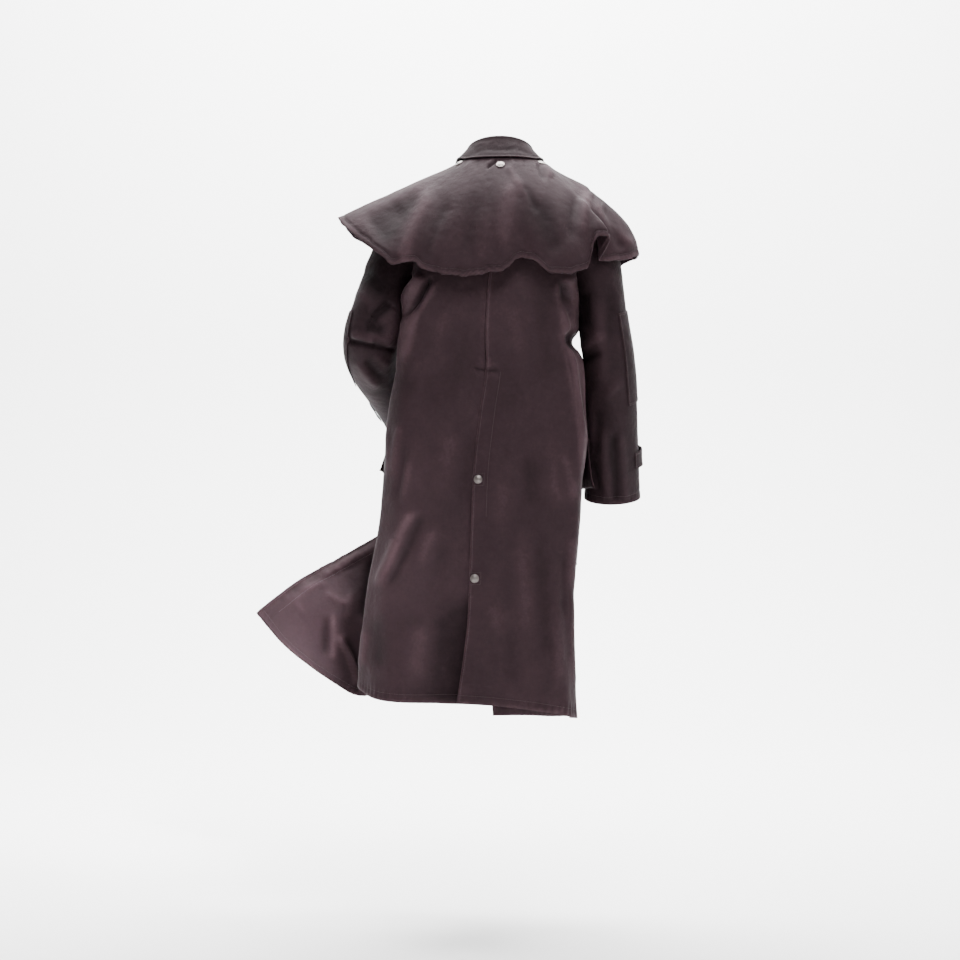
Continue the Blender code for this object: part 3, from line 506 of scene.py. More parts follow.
def armhole(side, rear, s):
    """An armhole's edge from the shoulder (0) to the underarm (1). side and rear are 1 or -1."""
    under = body_at(90.0 * side, UNDERARM_Z)
    bow = np.sin(np.pi * s)
    start = np.array([SHOULDER_X * side, SHOULDER_GAP * rear, SHOULDER_Z])
    straight = start + (under - start) * s[..., None]
    hollow = stack(-side * ARMHOLE_HOLLOW * bow, rear * ARMHOLE_DEPTH * bow, 0.0 * bow)
    return straight + hollow


def back_seam_angle(z):
    """The angle of the centre back line at a height."""
    heights = column(BACK_SEAM, BACK_SEAM_COLUMNS, "height")
    return smooth_table(z, heights, column(BACK_SEAM, BACK_SEAM_COLUMNS, "angle"))


def yoke(side, rear, c, s):
    """A quarter of the body above the underarm, blended from its four edges. c runs from the centre to the
    armhole, s from the top edge to the underarm."""
    middle = back_seam_angle(np.float64(UNDERARM_Z)) if rear > 0 else 180.0 * side
    neck_middle = 0.0 if rear > 0 else 180.0 * side
    c, s = np.broadcast_arrays(np.asarray(c, dtype=float), np.asarray(s, dtype=float))

    def top(c):
        """The top edge: along the neckline, then along the shoulder seam."""
        on_neck = neckline(neck_middle + (90.0 * side - neck_middle) * c / NECK_SHARE)
        t = (c - NECK_SHARE) / (1 - NECK_SHARE)
        neck_side = np.array([NECK_SIDE_X * side, NECK_CENTRE_Y, NECK_SIDE_Z])
        shoulder = np.array([SHOULDER_X * side, 0.0, SHOULDER_Z])
        on_shoulder = neck_side + (shoulder - neck_side) * t[..., None]
        on_shoulder[..., 1] += SHOULDER_GAP * rear
        on_shoulder[..., 2] += SHOULDER_RISE * np.sin(np.pi * np.clip(t, 0, 1))
        return np.where((c < NECK_SHARE)[..., None], on_neck, on_shoulder)

    def bottom(c):
        """The edge at the underarm's height."""
        return body_at(middle + (90.0 * side - middle) * c, UNDERARM_Z)

    def centre(s):
        """The centre line, which comes out from the neck faster than it drops."""
        start = neckline(np.float64(neck_middle))
        end = body_at(np.float64(middle), UNDERARM_Z)
        out = 1 - np.abs(1 - s) ** YOKE_FULLNESS
        return stack(
            start[0] + (end[0] - start[0]) * s,
            start[1] + (end[1] - start[1]) * out,
            start[2] + (end[2] - start[2]) * s,
        )

    f = ease(s)[..., None]
    g = ease(np.abs(c))[..., None]
    zero = np.zeros(1)
    one = np.ones(1)
    ruled = (1 - f) * top(c) + f * bottom(c) + (1 - g) * centre(s) + g * armhole(side, rear, s)
    corners = (1 - f) * ((1 - g) * top(zero) + g * top(one)) + f * ((1 - g) * bottom(zero) + g * bottom(one))
    return ruled - corners


def panel_body(side, rear, angle, z_share, c):
    """The body below 0 of z_share from the yoke, and above it from the rings down to the hem."""
    z = UNDERARM_Z + (hem_height(angle) - UNDERARM_Z) * np.clip(z_share, 0.0, None)
    low = body_at(angle, z)
    high = yoke(side, rear, c, np.minimum(z_share, 0.0) + 1.0)
    return np.where((z_share > 0)[..., None], low, high)


def row_height(angle, share):
    """The height of a point of the rings."""
    return UNDERARM_Z + (hem_height(angle) - UNDERARM_Z) * np.clip(share, 0.0, None)


def seam_shift(side):
    """The angle that half a seam gap takes on the body."""
    return side * math.degrees(0.5 * SEAM_GAP / MEAN_RADIUS)


def back_right(u, v):
    """The right back: u from the centre back to the side seam, v from the top edge (-1) to the hem (1)."""
    z = row_height(0.0, v)
    start = back_seam_angle(z) + seam_shift(-1)
    end = -90.0 - seam_shift(-1)
    angle = start + (end - start) * u
    return panel_body(-1, 1, angle, v, u + SEAM_SHARE)


def vent_extension(z):
    """The angle by which the left back runs on under the right one."""
    return VENT_UNDERLAP * ease((VENT_TOP - z) / VENT_RAMP)


def back_left(u, v):
    """The left back: below the vent's top it runs on under the right back."""
    z = row_height(0.0, v)
    seam = back_seam_angle(z)
    start = seam + seam_shift(1) - vent_extension(z)
    end = 90.0 - seam_shift(1)
    angle = start + (end - start) * u
    points = panel_body(1, 1, angle, v, u * (1.0 - SEAM_SHARE) + SEAM_SHARE)
    near_seam = ease(1.0 - (angle - seam - VENT_SINK_FROM) / VENT_SINK_WIDTH)
    sunk = ease((VENT_SINK_TOP - z) / VENT_RAMP) * near_seam
    return points - stack(0.0 * sunk, LAP * sunk, 0.0 * sunk)


def front_right(u, v):
    """The right front: from the side seam past the centre front, under the left front."""
    start = -90.0 + seam_shift(-1)
    z = row_height(180.0, v)
    hung = RIGHT_EDGE_SHIFT * ease((RIGHT_EDGE_SHIFT_TOP - z) / (RIGHT_EDGE_SHIFT_TOP - RIGHT_EDGE_SHIFT_HEM))
    angle = start + (hung - 180.0 - FRONT_OVERLAP - start) * u
    c = 1.0 - (angle + 90.0) / -90.0 - SEAM_SHARE
    return panel_body(-1, -1, angle, v, c)


def front_left_closed(angle, v):
    """The left front as it lies when it is closed, over the right front."""
    c = 1.0 - (angle - 90.0) / 90.0 - SEAM_SHARE
    points = panel_body(1, -1, angle, v, c)
    raised = LAP * ease((angle - FRONT_LAP_FROM) / FRONT_LAP_RAMP)
    return points - stack(0.0 * raised, raised, 0.0 * raised)


def front_left(u, v):
    """The left front: from the side seam to its front edge, which the wind turns back below the waist."""
    start = 90.0 + seam_shift(1)
    angle = start + (180.0 + FRONT_OVERLAP - start) * u
    angle, v = np.broadcast_arrays(angle, v)
    base = front_left_closed(angle, v)
    return turned_back(base, angle, v)


def turned_back(base, angle, v):
    """Bends the cloth beyond the fold line: round a roll, then straight on at the turn angle."""
    width = math.radians(90.0 + FRONT_OVERLAP) * TURN_RADIUS
    across = np.radians(angle - 90.0) * TURN_RADIUS
    z = row_height(angle, v)
    line = np.array([TURN_HEM_ACROSS - width, TURN_HEM_Z - TURN_TOP_Z])
    length = np.linalg.norm(line)
    line = line / length
    off = np.array([-line[1], line[0]])
    t = (across - width) * line[0] + (z - TURN_TOP_Z) * line[1]
    d = (across - width) * off[0] + (z - TURN_TOP_Z) * off[1]
    beyond = np.maximum(d, 0.0) * (1.0 + (TURN_FLARE - 1.0) * np.clip(t / length, 0.0, 1.0))
    foot_across = width + t * line[0]
    foot_z = TURN_TOP_Z + t * line[1]

    def closed(a, z):
        """The closed front at a length across from the side seam and a height."""
        at = 90.0 + np.degrees(a / TURN_RADIUS)
        share = (z - UNDERARM_Z) / (hem_height(at) - UNDERARM_Z)
        return front_left_closed(at, share)

    foot = closed(foot_across, foot_z)
    along_a = unit(closed(foot_across + NEAR, foot_z) - closed(foot_across - NEAR, foot_z))
    along_z = unit(closed(foot_across, foot_z + NEAR) - closed(foot_across, foot_z - NEAR))
    outward = unit(np.cross(along_z, along_a))
    forward = unit(along_a * off[0] + along_z * off[1])
    share = np.clip(t / length, 0.0, 1.0)
    roll = TURN_ROLL_TOP + (TURN_ROLL_HEM - TURN_ROLL_TOP) * share
    turn = np.radians(TURN_ANGLE_TOP + (TURN_ANGLE_HEM - TURN_ANGLE_TOP) * ease(share / TURN_OPENS))
    bent = np.minimum(beyond / roll, turn)
    straight = np.maximum(beyond - roll * turn, 0.0)
    ahead = roll * np.sin(bent) + straight * np.cos(turn)
    away = roll * (1 - np.cos(bent)) + straight * np.sin(turn)
    bowed = TURN_SAG * np.sin(np.pi * np.clip(beyond / TURN_SAG_REACH, 0.0, 1.0))
    turned = foot + forward * ahead[..., None] + outward * (away - bowed)[..., None]
    return np.where((d > 0)[..., None], turned, base)


def sleeve(side, around, along):
    """A sleeve: around runs 0 to 1 from the outside over the back, the inside and the front. From -1 to 0 it
    fans out from the armhole to an oval, and from 0 to 1 it is ovals round the sleeve's middle line."""
    table = LEFT_SLEEVE if side > 0 else RIGHT_SLEEVE
    around, along = np.broadcast_arrays(np.asarray(around, dtype=float), np.asarray(along, dtype=float))

    def size(at, name):
        """One column of the sleeve's table at a place along it."""
        return smooth_table(at, column(table, SLEEVE_COLUMNS, "along"), column(table, SLEEVE_COLUMNS, name))

    def middle(at):
        """The sleeve's middle line at a place along it."""
        return stack(size(at, "x") * side, size(at, "y"), size(at, "z"))

    on_tube = np.clip(along, 0.0, None)
    ahead = np.minimum(on_tube + SLEEVE_NEAR, 1.0)
    behind = np.maximum(on_tube - SLEEVE_NEAR, 0.0)
    heading = unit(middle(ahead) - middle(behind))
    out = np.zeros_like(heading)
    out[..., 0] = side
    out = unit(out - heading * np.sum(out * heading, axis=-1, keepdims=True))
    rear = side * np.cross(out, heading)
    turn = 2 * np.pi * around
    tube = middle(on_tube) + out * (size(on_tube, "half width") * np.cos(turn))[..., None]
    tube = tube + rear * (size(on_tube, "half depth") * np.sin(turn))[..., None]
    wrapped = around % 1.0
    down = np.where(wrapped < 0.5, 2 * wrapped, 2 - 2 * wrapped)
    edge = np.where((wrapped < 0.5)[..., None], armhole(side, 1, down), armhole(side, -1, down))
    edge = edge + np.array([SLEEVE_START * side, 0.0, 0.0])
    reach = np.linalg.norm(tube - edge, axis=-1, keepdims=True)
    lead_x = SLEEVE_LEAD_SHOULDER[0] + (SLEEVE_LEAD_UNDERARM[0] - SLEEVE_LEAD_SHOULDER[0]) * down
    lead_z = SLEEVE_LEAD_SHOULDER[1] + (SLEEVE_LEAD_UNDERARM[1] - SLEEVE_LEAD_SHOULDER[1]) * down
    lead = unit(stack(side * lead_x, 0.0 * lead_x, lead_z))
    t = np.clip(along + 1.0, 0.0, 1.0)[..., None]
    cap = (1 + 2 * t) * (1 - t) ** 2 * edge + t * (1 - t) ** 2 * reach * lead
    cap = cap + t * t * (3 - 2 * t) * tube + t * t * (t - 1) * reach * heading
    return np.where((along < 0)[..., None], cap, tube)


def cape(angle, r):
    """The cape: angle round the neck, r from the neck edge (0) to the hem (1)."""
    angle, r = np.broadcast_arrays(np.asarray(angle, dtype=float), np.asarray(r, dtype=float))
    stations = column(CAPE, CAPE_COLUMNS, "angle")
    neck_radius, neck_z, hem_radius, hem_z, fullness = (
        smooth_table(angle, stations, column(CAPE, CAPE_COLUMNS, name)) for name in CAPE_COLUMNS[1:]
    )
    for fold in named_rows(CAPE_FOLDS, CAPE_FOLD_COLUMNS):
        grown = ease((r - fold["starts"]) / (CAPE_FOLD_REACH - fold["starts"]))
        weight = swell(angle, fold["angle"], fold["width"]) * grown
        hem_radius = hem_radius + fold["out"] * weight
        hem_z = hem_z + fold["up"] * weight
    grown = 1 - np.abs(1 - r) ** fullness
    radius = neck_radius + (hem_radius - neck_radius) * grown
    z = neck_z + (hem_z - neck_z) * r
    turn = np.radians(angle)
    return stack(radius * np.sin(turn), NECK_CENTRE_Y + radius * np.cos(turn), z)


def collar(angle, c):
    """The collar: c runs up the stand, round the fold and down the leaf."""
    angle, c = np.broadcast_arrays(np.asarray(angle, dtype=float), np.asarray(c, dtype=float))
    stations = column(COLLAR, COLLAR_COLUMNS, "angle")
    fold_radius, fold_z, leaf_radius, leaf_z = (
        smooth_table(angle, stations, column(COLLAR, COLLAR_COLUMNS, name)) for name in COLLAR_COLUMNS[1:]
    )
    turn = np.radians(angle)
    seam = neckline(angle)
    seam_radius = np.hypot(seam[..., 0], seam[..., 1] - NECK_CENTRE_Y)
    seam_z = seam[..., 2] + COLLAR_SEAT
    ring = COLLAR_FOLD_RADIUS
    up = np.clip(c / COLLAR_STAND_SHARE, None, 1.0)
    roll = np.pi * np.clip((c - COLLAR_STAND_SHARE) / (COLLAR_LEAF_FROM - COLLAR_STAND_SHARE), 0.0, 1.0)
    down = np.clip((c - COLLAR_LEAF_FROM) / (1 - COLLAR_LEAF_FROM), 0.0, None)
    radius = seam_radius + (fold_radius - ring - seam_radius) * up
    z = seam_z + (fold_z - ring - seam_z) * up
    radius = radius + ring * (1 - np.cos(roll)) + (leaf_radius - fold_radius - ring) * down**COLLAR_LEAF_CURVE
    z = z + ring * np.sin(roll) + (leaf_z - fold_z + ring) * down
    return stack(radius * np.sin(turn), NECK_CENTRE_Y + radius * np.cos(turn), z)


def spread(stops, counts):
    """Grid values that step evenly between stops, with a count of steps for each stretch."""
    parts = [np.linspace(a, b, n, endpoint=False) for a, b, n in zip(stops[:-1], stops[1:], counts)]
    return np.concatenate(parts + [np.array([stops[-1]])])


def body_rows():
    """Heights in steps from the top edge to the hem, by which the pockets, their flaps and the front snaps
    are placed.
    """
    return spread(ROW_STOPS, ROW_STEPS)


def front_columns():
    """Places across the fronts in steps, by which the pockets and their flaps are placed."""
    angles = spread((90.0, 180.0 - FRONT_OVERLAP, 180.0 + FRONT_OVERLAP), FRONT_STEPS)
    return (angles - 90.0) / (90.0 + FRONT_OVERLAP)


# Fine grids: steps across and down for each kind of piece
FINE_BACK = (104, 230)
FINE_FRONT_RIGHT = (96, 220)
FINE_FRONT_LEFT = (170, 230)
FINE_SLEEVE = (96, 46, 118)
FINE_CAPE = (330, 72)
FINE_COLLAR = (170, 54)
FINE_POCKET = (40, 60)
FINE_FLAP = (46, 26)
FINE_PATCH = (40, 60)
FINE_TAB = (34, 14)

# Sewing: how far hems and seams are stitched from their edges, the stitches' own sizes, how far out of the
# cloth their middles stand as a share of their radius, and at how many places a seam is measured
HEM_SEAM = 0.017
EDGE_SEAM = 0.0045
COLLAR_SEAM = 0.006
FACING_SEAM = 0.031
STITCH_STEP = 0.0036
STITCH_HALF = 0.0013
STITCH_RADIUS = 0.00032
STITCH_PROUD = 0.3
SEAM_STEPS = 300
SHORT_SEAM_STEPS = 120
CAPE_HEM_STEPS = 500

# From which share of a panel's height to which its long seams run
SEAM_RUN = (0.02, 0.985)
FRONT_EDGE_RUN = (0.01, 0.985)
FACING_RUN = (0.02, 0.97)
COLLAR_END_RUN = (0.0, 0.45)

# Relief of the edges: a turned-in hem's puckers, groove and roll, a flat seam's welt and groove, and the
# groove along a facing. Each wander has a strength, a length and how much of the seed it takes. The puckers'
# strength has a mean, a swing and a length.
HEM_PUCKER = 0.00095
HEM_GROOVE = (0.0008, 0.0022)
HEM_ROLL = 0.0007
PUCKER_LENGTH = 0.0135
PUCKER_BAND = 0.75
PUCKER_WANDER = ((2.0, 0.031, 1.0), (1.3, 0.0173, 2.0))
PUCKER_STRENGTH = (0.6, 0.4, 0.047)
SEAM_WELT = 0.0008
SEAM_GROOVE = (0.0006, 0.0018)
VENT_FACING_GROOVE = (0.0007, 0.002)
FRONT_FACING_GROOVE = (0.0006, 0.0022)
VENT_FACING_FADE_IN = (-0.50, 0.1)
VENT_FACING_FADE_OUT = 0.02

# How much lower the inner side of a turned-in hem lies, over what step, and how far the rubbing of the
# edges reaches in
HEM_DOUBLED = 0.0008
CAPE_HEM_DOUBLED = 0.0006
HEM_STEP = 0.002
WEAR_REACH = 0.012
CAPE_WEAR_REACH = 0.014
POCKET_WEAR_REACH = 0.009
SMALL_WEAR_REACH = 0.008

# Unevenness: the height and length of the panels' slow waves and crumpled ridges, and of the waves of what
# is sewn on and of the collar, and the relief at which the painted highlight on a ridge is palest and the
# painted shade in a trough darkest
WAVES = (0.0011, 0.16)
CRUMPLES = (0.0011, 0.085)
PATCH_WAVES = (0.0005, 0.07)
COLLAR_WAVES = (0.0006, 0.06)
FULL_SHADING_RELIEF = 0.006
WAVE_COUNT = 6
WAVE_SPREAD = (0.7, 1.5)
CRUMPLE_COUNT = 5
CRUMPLE_SPREAD = (0.8, 1.6)
CRUMPLE_WIDTH = 0.22
CRUMPLE_WARP = (1.8, 1.7)

# Where reliefs fade, each from where and over what reach: as the cloth faces sideways or inwards, by the
# armhole (by what share and how far down), at the cape's neck and at the collar's fold
SIDEWAYS = (0.45, 0.45)
INWARDS = (0.4, 0.4)
ARMHOLE_FADE = (0.8, 0.05)
CAPE_NECK_FADE = (0.25, 0.03)
COLLAR_FOLD_FADE = 0.12

# The cape's hem relief against a panel's, how far in the cape's edges and the panels' open edges are sewn,
# and the share of a panel's rows that lies above the underarm
CAPE_HEM_RELIEF = 1.9
CAPE_HEM_SEAM = HEM_SEAM * 0.75
CAPE_EDGE_SEAM = EDGE_SEAM * 2.0
OPEN_EDGE_SEAM = EDGE_SEAM * 1.5
ABOVE_UNDERARM = 0.22

# The plane through the coat's middle in which strokes are placed, as seen from the eye
EYE = (0.043, 5.0, -0.70)

# Strokes: soft ridges and troughs on the plane. A row says where the stroke starts, across and up, where it
# ends, how far it bends sideways, its half width and its height (negative for a trough), all in millimetres,
# and over how much of its length it fades in and out, in hundredths.
MILLIMETRES = 1000.0
HUNDREDTHS = 100.0
BACK_STROKES = (
    (166, -258, 222, -345, 0, 11, 10.5, 10, 20),
    (184, -258, 240, -340, 0, 6, -8.5, 10, 20),
    (148, -264, 206, -368, 0, 5.5, -11.5, 10, 30),
    (136, -272, 200, -395, 0, 5.5, 4.5, 10, 30),
    (-146, -262, -168, -332, 0, 11, 5, 10, 20),
    (-168, -325, -173, -382, 0, 10, 4.5, 20, 30),
    (198, -323, 230, -468, 0, 8, 3.5, 20, 10),
    (230, -460, 246, -634, 3, 8, 3.5, 10, 25),
    (-121, -270, -137, -424, 0, 8, 5.5, 10, 6),
    (-137, -412, -174, -640, -4, 8, 5.5, 6, 30),
    (-139, -270, -154, -424, 0, 13, -10.5, 10, 6),
    (-154, -412, -188, -620, -4, 13, -9.5, 6, 30),
    (36, -260, 36, -450, 0, 6, 1.2, 20, 20),
    (62, -460, 31, -463, 0, 3.2, -4, 30, 10),
    (31, -463, 0, -466, 0, 3.2, -4, 10, 30),
    (56, -447, 34, -460, 0, 4.2, 2.4, 30, 20),
    (8, -445, 28, -460, 0, 4.2, 2.6, 30, 20),
    (-2, -481, 26, -469, 0, 4.8, 2.4, 30, 20),
    (52, -478, 35, -468, 0, 4.2, 1.8, 30, 20),
    (18, -432, 29, -458, 0, 5, 2.6, 30, 20),
    (46, -430, 33, -458, 0, 5, 2.4, 30, 20),
    (171, -436, 194, -495, 0, 7, 2, 30, 40),
    (150, -400, 176, -560, 4, 12, 2, 30, 40),
    (118, -300, 140, -520, 3, 16, 1.8, 30, 40),
    (80, -330, 86, -500, 0, 18, -1.6, 30, 40),
    (-30, -300, -50, -520, 0, 20, 1.6, 30, 40),
    (-85, -290, -105, -500, 0, 15, -1.8, 30, 40),
    (100, -560, 130, -760, 0, 20, 2.2, 30, 40),
    (60, -560, 85, -800, 0, 18, -2, 30, 40),
    (213, -570, 228, -714, 4, 10, 4.5, 20, 30),
    (190, -639, 213, -760, 0, 9, 3.5, 30, 30),
    (202, -600, 222, -760, 0, 8, -3, 30, 30),
    (238, -593, 240, -719, 0, 6, 3, 20, 30),
    (179, -760, 219, -832, 4, 12, 6, 35, 8),
    (219, -824, 272, -942, -4, 13, 8, 8, 35),
    (160, -765, 200, -850, 4, 12, -6, 35, 8),
    (200, -842, 248, -935, 0, 12, -6.5, 8, 35),
    (132, -790, 176, -900, 4, 14, 4, 35, 40),
    (110, -820, 150, -930, 4, 14, -2.5, 35, 40),
    (219, -999, 69, -1010, 0, 14, -2.6, 30, 30),
    (270, -980, 262, -1120, 0, 18, -5, 30, 30),
    (288, -1010, 296, -1110, 0, 10, 5, 30, 20),
    (-132, -627, -164, -760, 0, 12, 3.5, 30, 30),
    (-155, -800, -150, -950, 0, 10, 4.5, 30, 30),
    (-138, -840, -136, -1010, 0, 9, -3, 30, 30),
    (-152, -938, -156, -1160, 0, 8, 3.5, 20, 20),
    (-120, -930, -126, -1160, 0, 11, 2.8, 30, 20),
    (-46, -771, -63, -1088, 4, 22, 3.6, 30, 30),
    (-85, -800, -104, -1110, 0, 18, -3.6, 30, 25),
    (12, -950, 6, -1050, 0, 22, 3.5, 40, 40),
    (-20, -1000, -30, -1150, 0, 16, -2.6, 40, 30),
    (-10, -660, 0, -860, 0, 20, 2.4, 30, 30),
    (-60, -620, -75, -780, 0, 18, -2.4, 30, 30),
    (-105, -600, -125, -780, 0, 14, 2.6, 30, 30),
)
BACK_LEFT_STROKES = (
    (50, -930, 86, -1185, 4, 52, -23, 55, 6),
    (150, -960, 178, -1150, 8, 26, 5, 45, 30),
    (45, -700, 50, -900, 0, 16, -3, 30, 40),
)
FLARE_STROKES = (
    (240, -806, 369, -884, 4, 7, -2.2, 10, 10),
    (365, -880, 482, -968, 4, 6, -1.8, 10, 15),
    (250, -832, 360, -900, 0, 9, 3, 10, 10),
    (355, -897, 455, -968, 0, 8, 2.6, 10, 20),
    (467, -942, 452, -964, 0, 4.5, 2.2, 20, 50),
    (446, -928, 431, -948, 0, 4, -2, 20, 50),
    (426, -911, 412, -934, 0, 4.5, 2.4, 20, 50),
    (405, -897, 388, -918, 0, 4, -2.2, 20, 50),
    (386, -882, 369, -905, 0, 4.5, 2.4, 20, 50),
    (365, -868, 347, -892, 0, 4, -2.2, 20, 50),
    (346, -853, 330, -880, 0, 4.5, 2.2, 20, 50),
    (311, -830, 297, -853, 0, 4.5, 2, 20, 50),
    (360, -975, 361, -1095, 0, 8, 6.7, 30, 15),
    (374, -985, 376, -1080, 0, 8, -5.3, 30, 20),
    (356, -1025, 308, -1140, -8, 9, 9.7, 25, 5),
    (340, -1035, 296, -1125, -6, 9, -8.3, 25, 10),
    (268, -858, 292, -1010, 0, 13, -12.8, 20, 20),
    (398, -915, 283, -846, 0, 6, 2.4, 30, 30),
    (410, -930, 300, -880, 0, 6, -2.1, 30, 30),
    (386, -938, 317, -973, 0, 7, 3.3, 30, 30),
    (432, -938, 369, -915, 0, 6, 2.4, 30, 30),
    (420, -990, 440, -960, 0, 6, 2.1, 30, 30),
    (320, -930, 330, -1010, 0, 10, 4.5, 30, 30),
)
FRONT_STROKES = (
    (40, -140, 130, -340, 6, 14, 4, 25, 25),
    (70, -130, 160, -300, 6, 12, -3.5, 25, 25),
    (-40, -140, -110, -340, -6, 14, 4, 25, 25),
    (-64, -130, -132, -290, -4, 12, -3.5, 25, 25),
    (165, -400, 70, -460, 6, 9, 4.5, 10, 40),
    (160, -430, 60, -500, 6, 9, -5, 10, 40),
    (150, -470, 50, -520, 0, 10, 4.5, 15, 40),
    (-130, -390, -50, -470, 0, 10, 3.5, 20, 40),
    (-130, -430, -40, -520, 0, 11, -3.5, 20, 40),
    (110, -560, 140, -840, 6, 18, 5, 30, 30),
    (75, -540, 105, -760, 4, 16, -5, 30, 30),
    (165, -700, 190, -1050, 0, 16, -5, 30, 20),
    (-80, -560, -95, -1120, 6, 18, 6, 30, 10),
    (-50, -600, -58, -1180, 4, 15, -6, 30, 5),
    (-22, -640, -20, -1180, 3, 14, 4.5, 30, 5),
    (-125, -860, -135, -1200, 0, 12, -4.5, 30, 5),
)
CAPE_STROKES = (
    (139, -56, 212, -236, 6, 16, 6.5, 30, 12),
    (171, -74, 268, -200, 4, 22, -6.5, 30, 25),
    (104, -80, 162, -240, 4, 18, -4.5, 30, 20),
    (112, -27, 320, -137, -6, 11, 2.2, 30, 25),
    (205, -98, 290, -160, 0, 24, -6, 30, 25),
    (112, -115, 153, -240, 0, 10, 2.6, 40, 25),
    (49, -60, 76, -226, 0, 20, -3, 40, 30),
    (30, -100, 40, -240, 0, 16, 2.4, 40, 30),
    (-35, -38, -3, -220, 4, 22, 5.5, 25, 25),
    (-69, -74, -128, -226, -4, 26, -6, 45, 25),
    (-15, -22, -69, -115, 0, 8, 3.4, 10, 50),
    (-44, -60, -87, -128, 0, 9, -3.2, 30, 30),
    (-92, -13, -114, -52, 0, 8, 4.5, 15, 30),
    (-82, -18, -98, -58, 0, 6, -4, 15, 30),
    (-155, -33, -191, -82, 0, 12, 4.5, 30, 15),
    (-191, -74, -180, -182, 6, 12, 5.5, 15, 30),
    (-164, -70, -158, -200, 4, 14, -4, 30, 30),
    (-200, -92, -291, -200, 12, 11, 4.5, 20, 15),
    (-222, -104, -268, -205, 6, 10, -3.5, 20, 15),
    (30, -31, 7, -14, 0, 2.6, -4.6, 20, 10),
    (30, -22, 12, -9, 0, 3, 1.4, 20, 10),
    (62, -12, 78, -40, 0, 5, 1.6, 10, 50),
    (46, -10, 54, -36, 0, 5, -1.4, 10, 50),
    (-24, -10, -34, -34, 0, 5, 1.4, 10, 50),
    (-50, -10, -62, -36, 0, 5, -1.4, 10, 50),
    (214, -214, 204, -240, 0, 4, 1.8, 40, 10),
    (196, -214, 188, -246, 0, 4, -1.6, 40, 10),
    (176, -222, 168, -252, 0, 5, 1.8, 40, 10),
    (142, -232, 134, -262, 0, 4, -1.6, 40, 10),
    (122, -236, 116, -264, 0, 4, 1.8, 40, 10),
    (92, -238, 86, -266, 0, 5, -1.4, 40, 10),
    (52, -234, 46, -264, 0, 5, 1.6, 40, 10),
)
CAPE_FRONT_STROKES = (
    (120, -80, 170, -240, 0, 18, 6, 30, 10),
    (160, -80, 225, -215, 0, 18, -5.5, 30, 15),
    (85, -90, 95, -260, 0, 14, -4.5, 30, 10),
    (-110, -80, -150, -240, 0, 18, 6, 30, 10),
    (-150, -80, -205, -225, 0, 18, -5.5, 30, 15),
    (-75, -100, -85, -262, 0, 14, -4, 30, 10),
)
LEFT_SLEEVE_STROKES = (
    (230, -318, 277, -357, 4, 8, -8.5, 20, 15),
    (276, -352, 281, -384, 0, 8, -8, 15, 25),
    (225, -334, 262, -364, 0, 9, 6, 20, 25),
    (288, -384, 232, -405, 0, 7, 5, 20, 20),
    (328, -398, 268, -413, 0, 6, -6.5, 10, 5),
    (274, -412, 226, -420, 0, 6, -6.5, 5, 20),
    (322, -386, 265, -400, 0, 7, 5, 20, 20),
    (275, -377, 250, -377, 0, 6, -5.5, 20, 30),
    (307, -436, 252, -508, 6, 9, 4.5, 20, 30),
    (290, -436, 240, -490, 4, 9, -4, 20, 30),
    (275, -427, 234, -459, 0, 7, 3.2, 30, 30),
    (300, -240, 245, -300, 0, 13, -4.5, 30, 30),
    (310, -290, 262, -336, 0, 11, 4, 30, 30),
    (305, -205, 290, -260, 0, 12, 3, 30, 30),
)
RIGHT_SLEEVE_STROKES = (
    (-173, -420, -230, -382, 0, 10, 5.5, 15, 30),
    (-175, -446, -225, -424, 0, 9, -5, 15, 30),
    (-180, -287, -184, -380, 0, 12, -5.5, 20, 20),
    (-210, -300, -222, -513, 0, 14, 3.6, 30, 30),
    (-240, -260, -236, -420, 0, 12, -3, 30, 30),
    (-196, -500, -200, -640, 0, 8, 3.6, 30, 30),
    (-212, -540, -210, -660, 0, 9, -3, 30, 30),
    (-219, -581, -230, -745, 0, 10, 4.5, 20, 5),
    (-242, -590, -250, -745, 0, 9, -4.5, 20, 5),
    (-259, -587, -270, -745, 0, 8, 3.5, 20, 5),
    (-200, -656, -214, -730, 0, 7, -3.5, 30, 20),
    (-262, -480, -225, -530, 0, 10, 3, 30, 30),
)
SLEEVE_FRONT_STROKES = (
    (300, -330, 235, -390, 0, 10, -7, 20, 20),
    (310, -370, 240, -420, 0, 10, 6, 20, 20),
    (300, -400, 225, -450, 0, 9, -6, 20, 20),
    (280, -220, 240, -320, 0, 12, 4, 25, 25),
    (-190, -340, -250, -400, 0, 10, -6, 20, 20),
    (-190, -390, -260, -440, 0, 10, 5.5, 20, 20),
    (-200, -440, -270, -480, 0, 9, -5, 20, 20),
    (-215, -540, -235, -720, 0, 12, 4, 25, 10),
    (-250, -560, -268, -720, 0, 10, -4, 25, 10),
)
COLLAR_STROKES = (
    (88, -12, 30, 12, 0, 5, -1.2, 20, 10),
    (34, 11, -40, 12, 2, 5, -1.2, 10, 10),
    (-36, 12, -90, -12, 0, 5, -1.2, 10, 20),
    (60, 20, 10, 26, 0, 4, 0.8, 30, 30),
)


def seen(points):
    """Where points appear on the plane through the coat's middle, from the eye: each is moved away from the
    eye's line of sight by the ratio of the eye's distance to its own."""
    nearer = EYE[1] / (EYE[1] - points[..., 1])
    return EYE[0] + (points[..., 0] - EYE[0]) * nearer, EYE[2] + (points[..., 2] - EYE[2]) * nearer


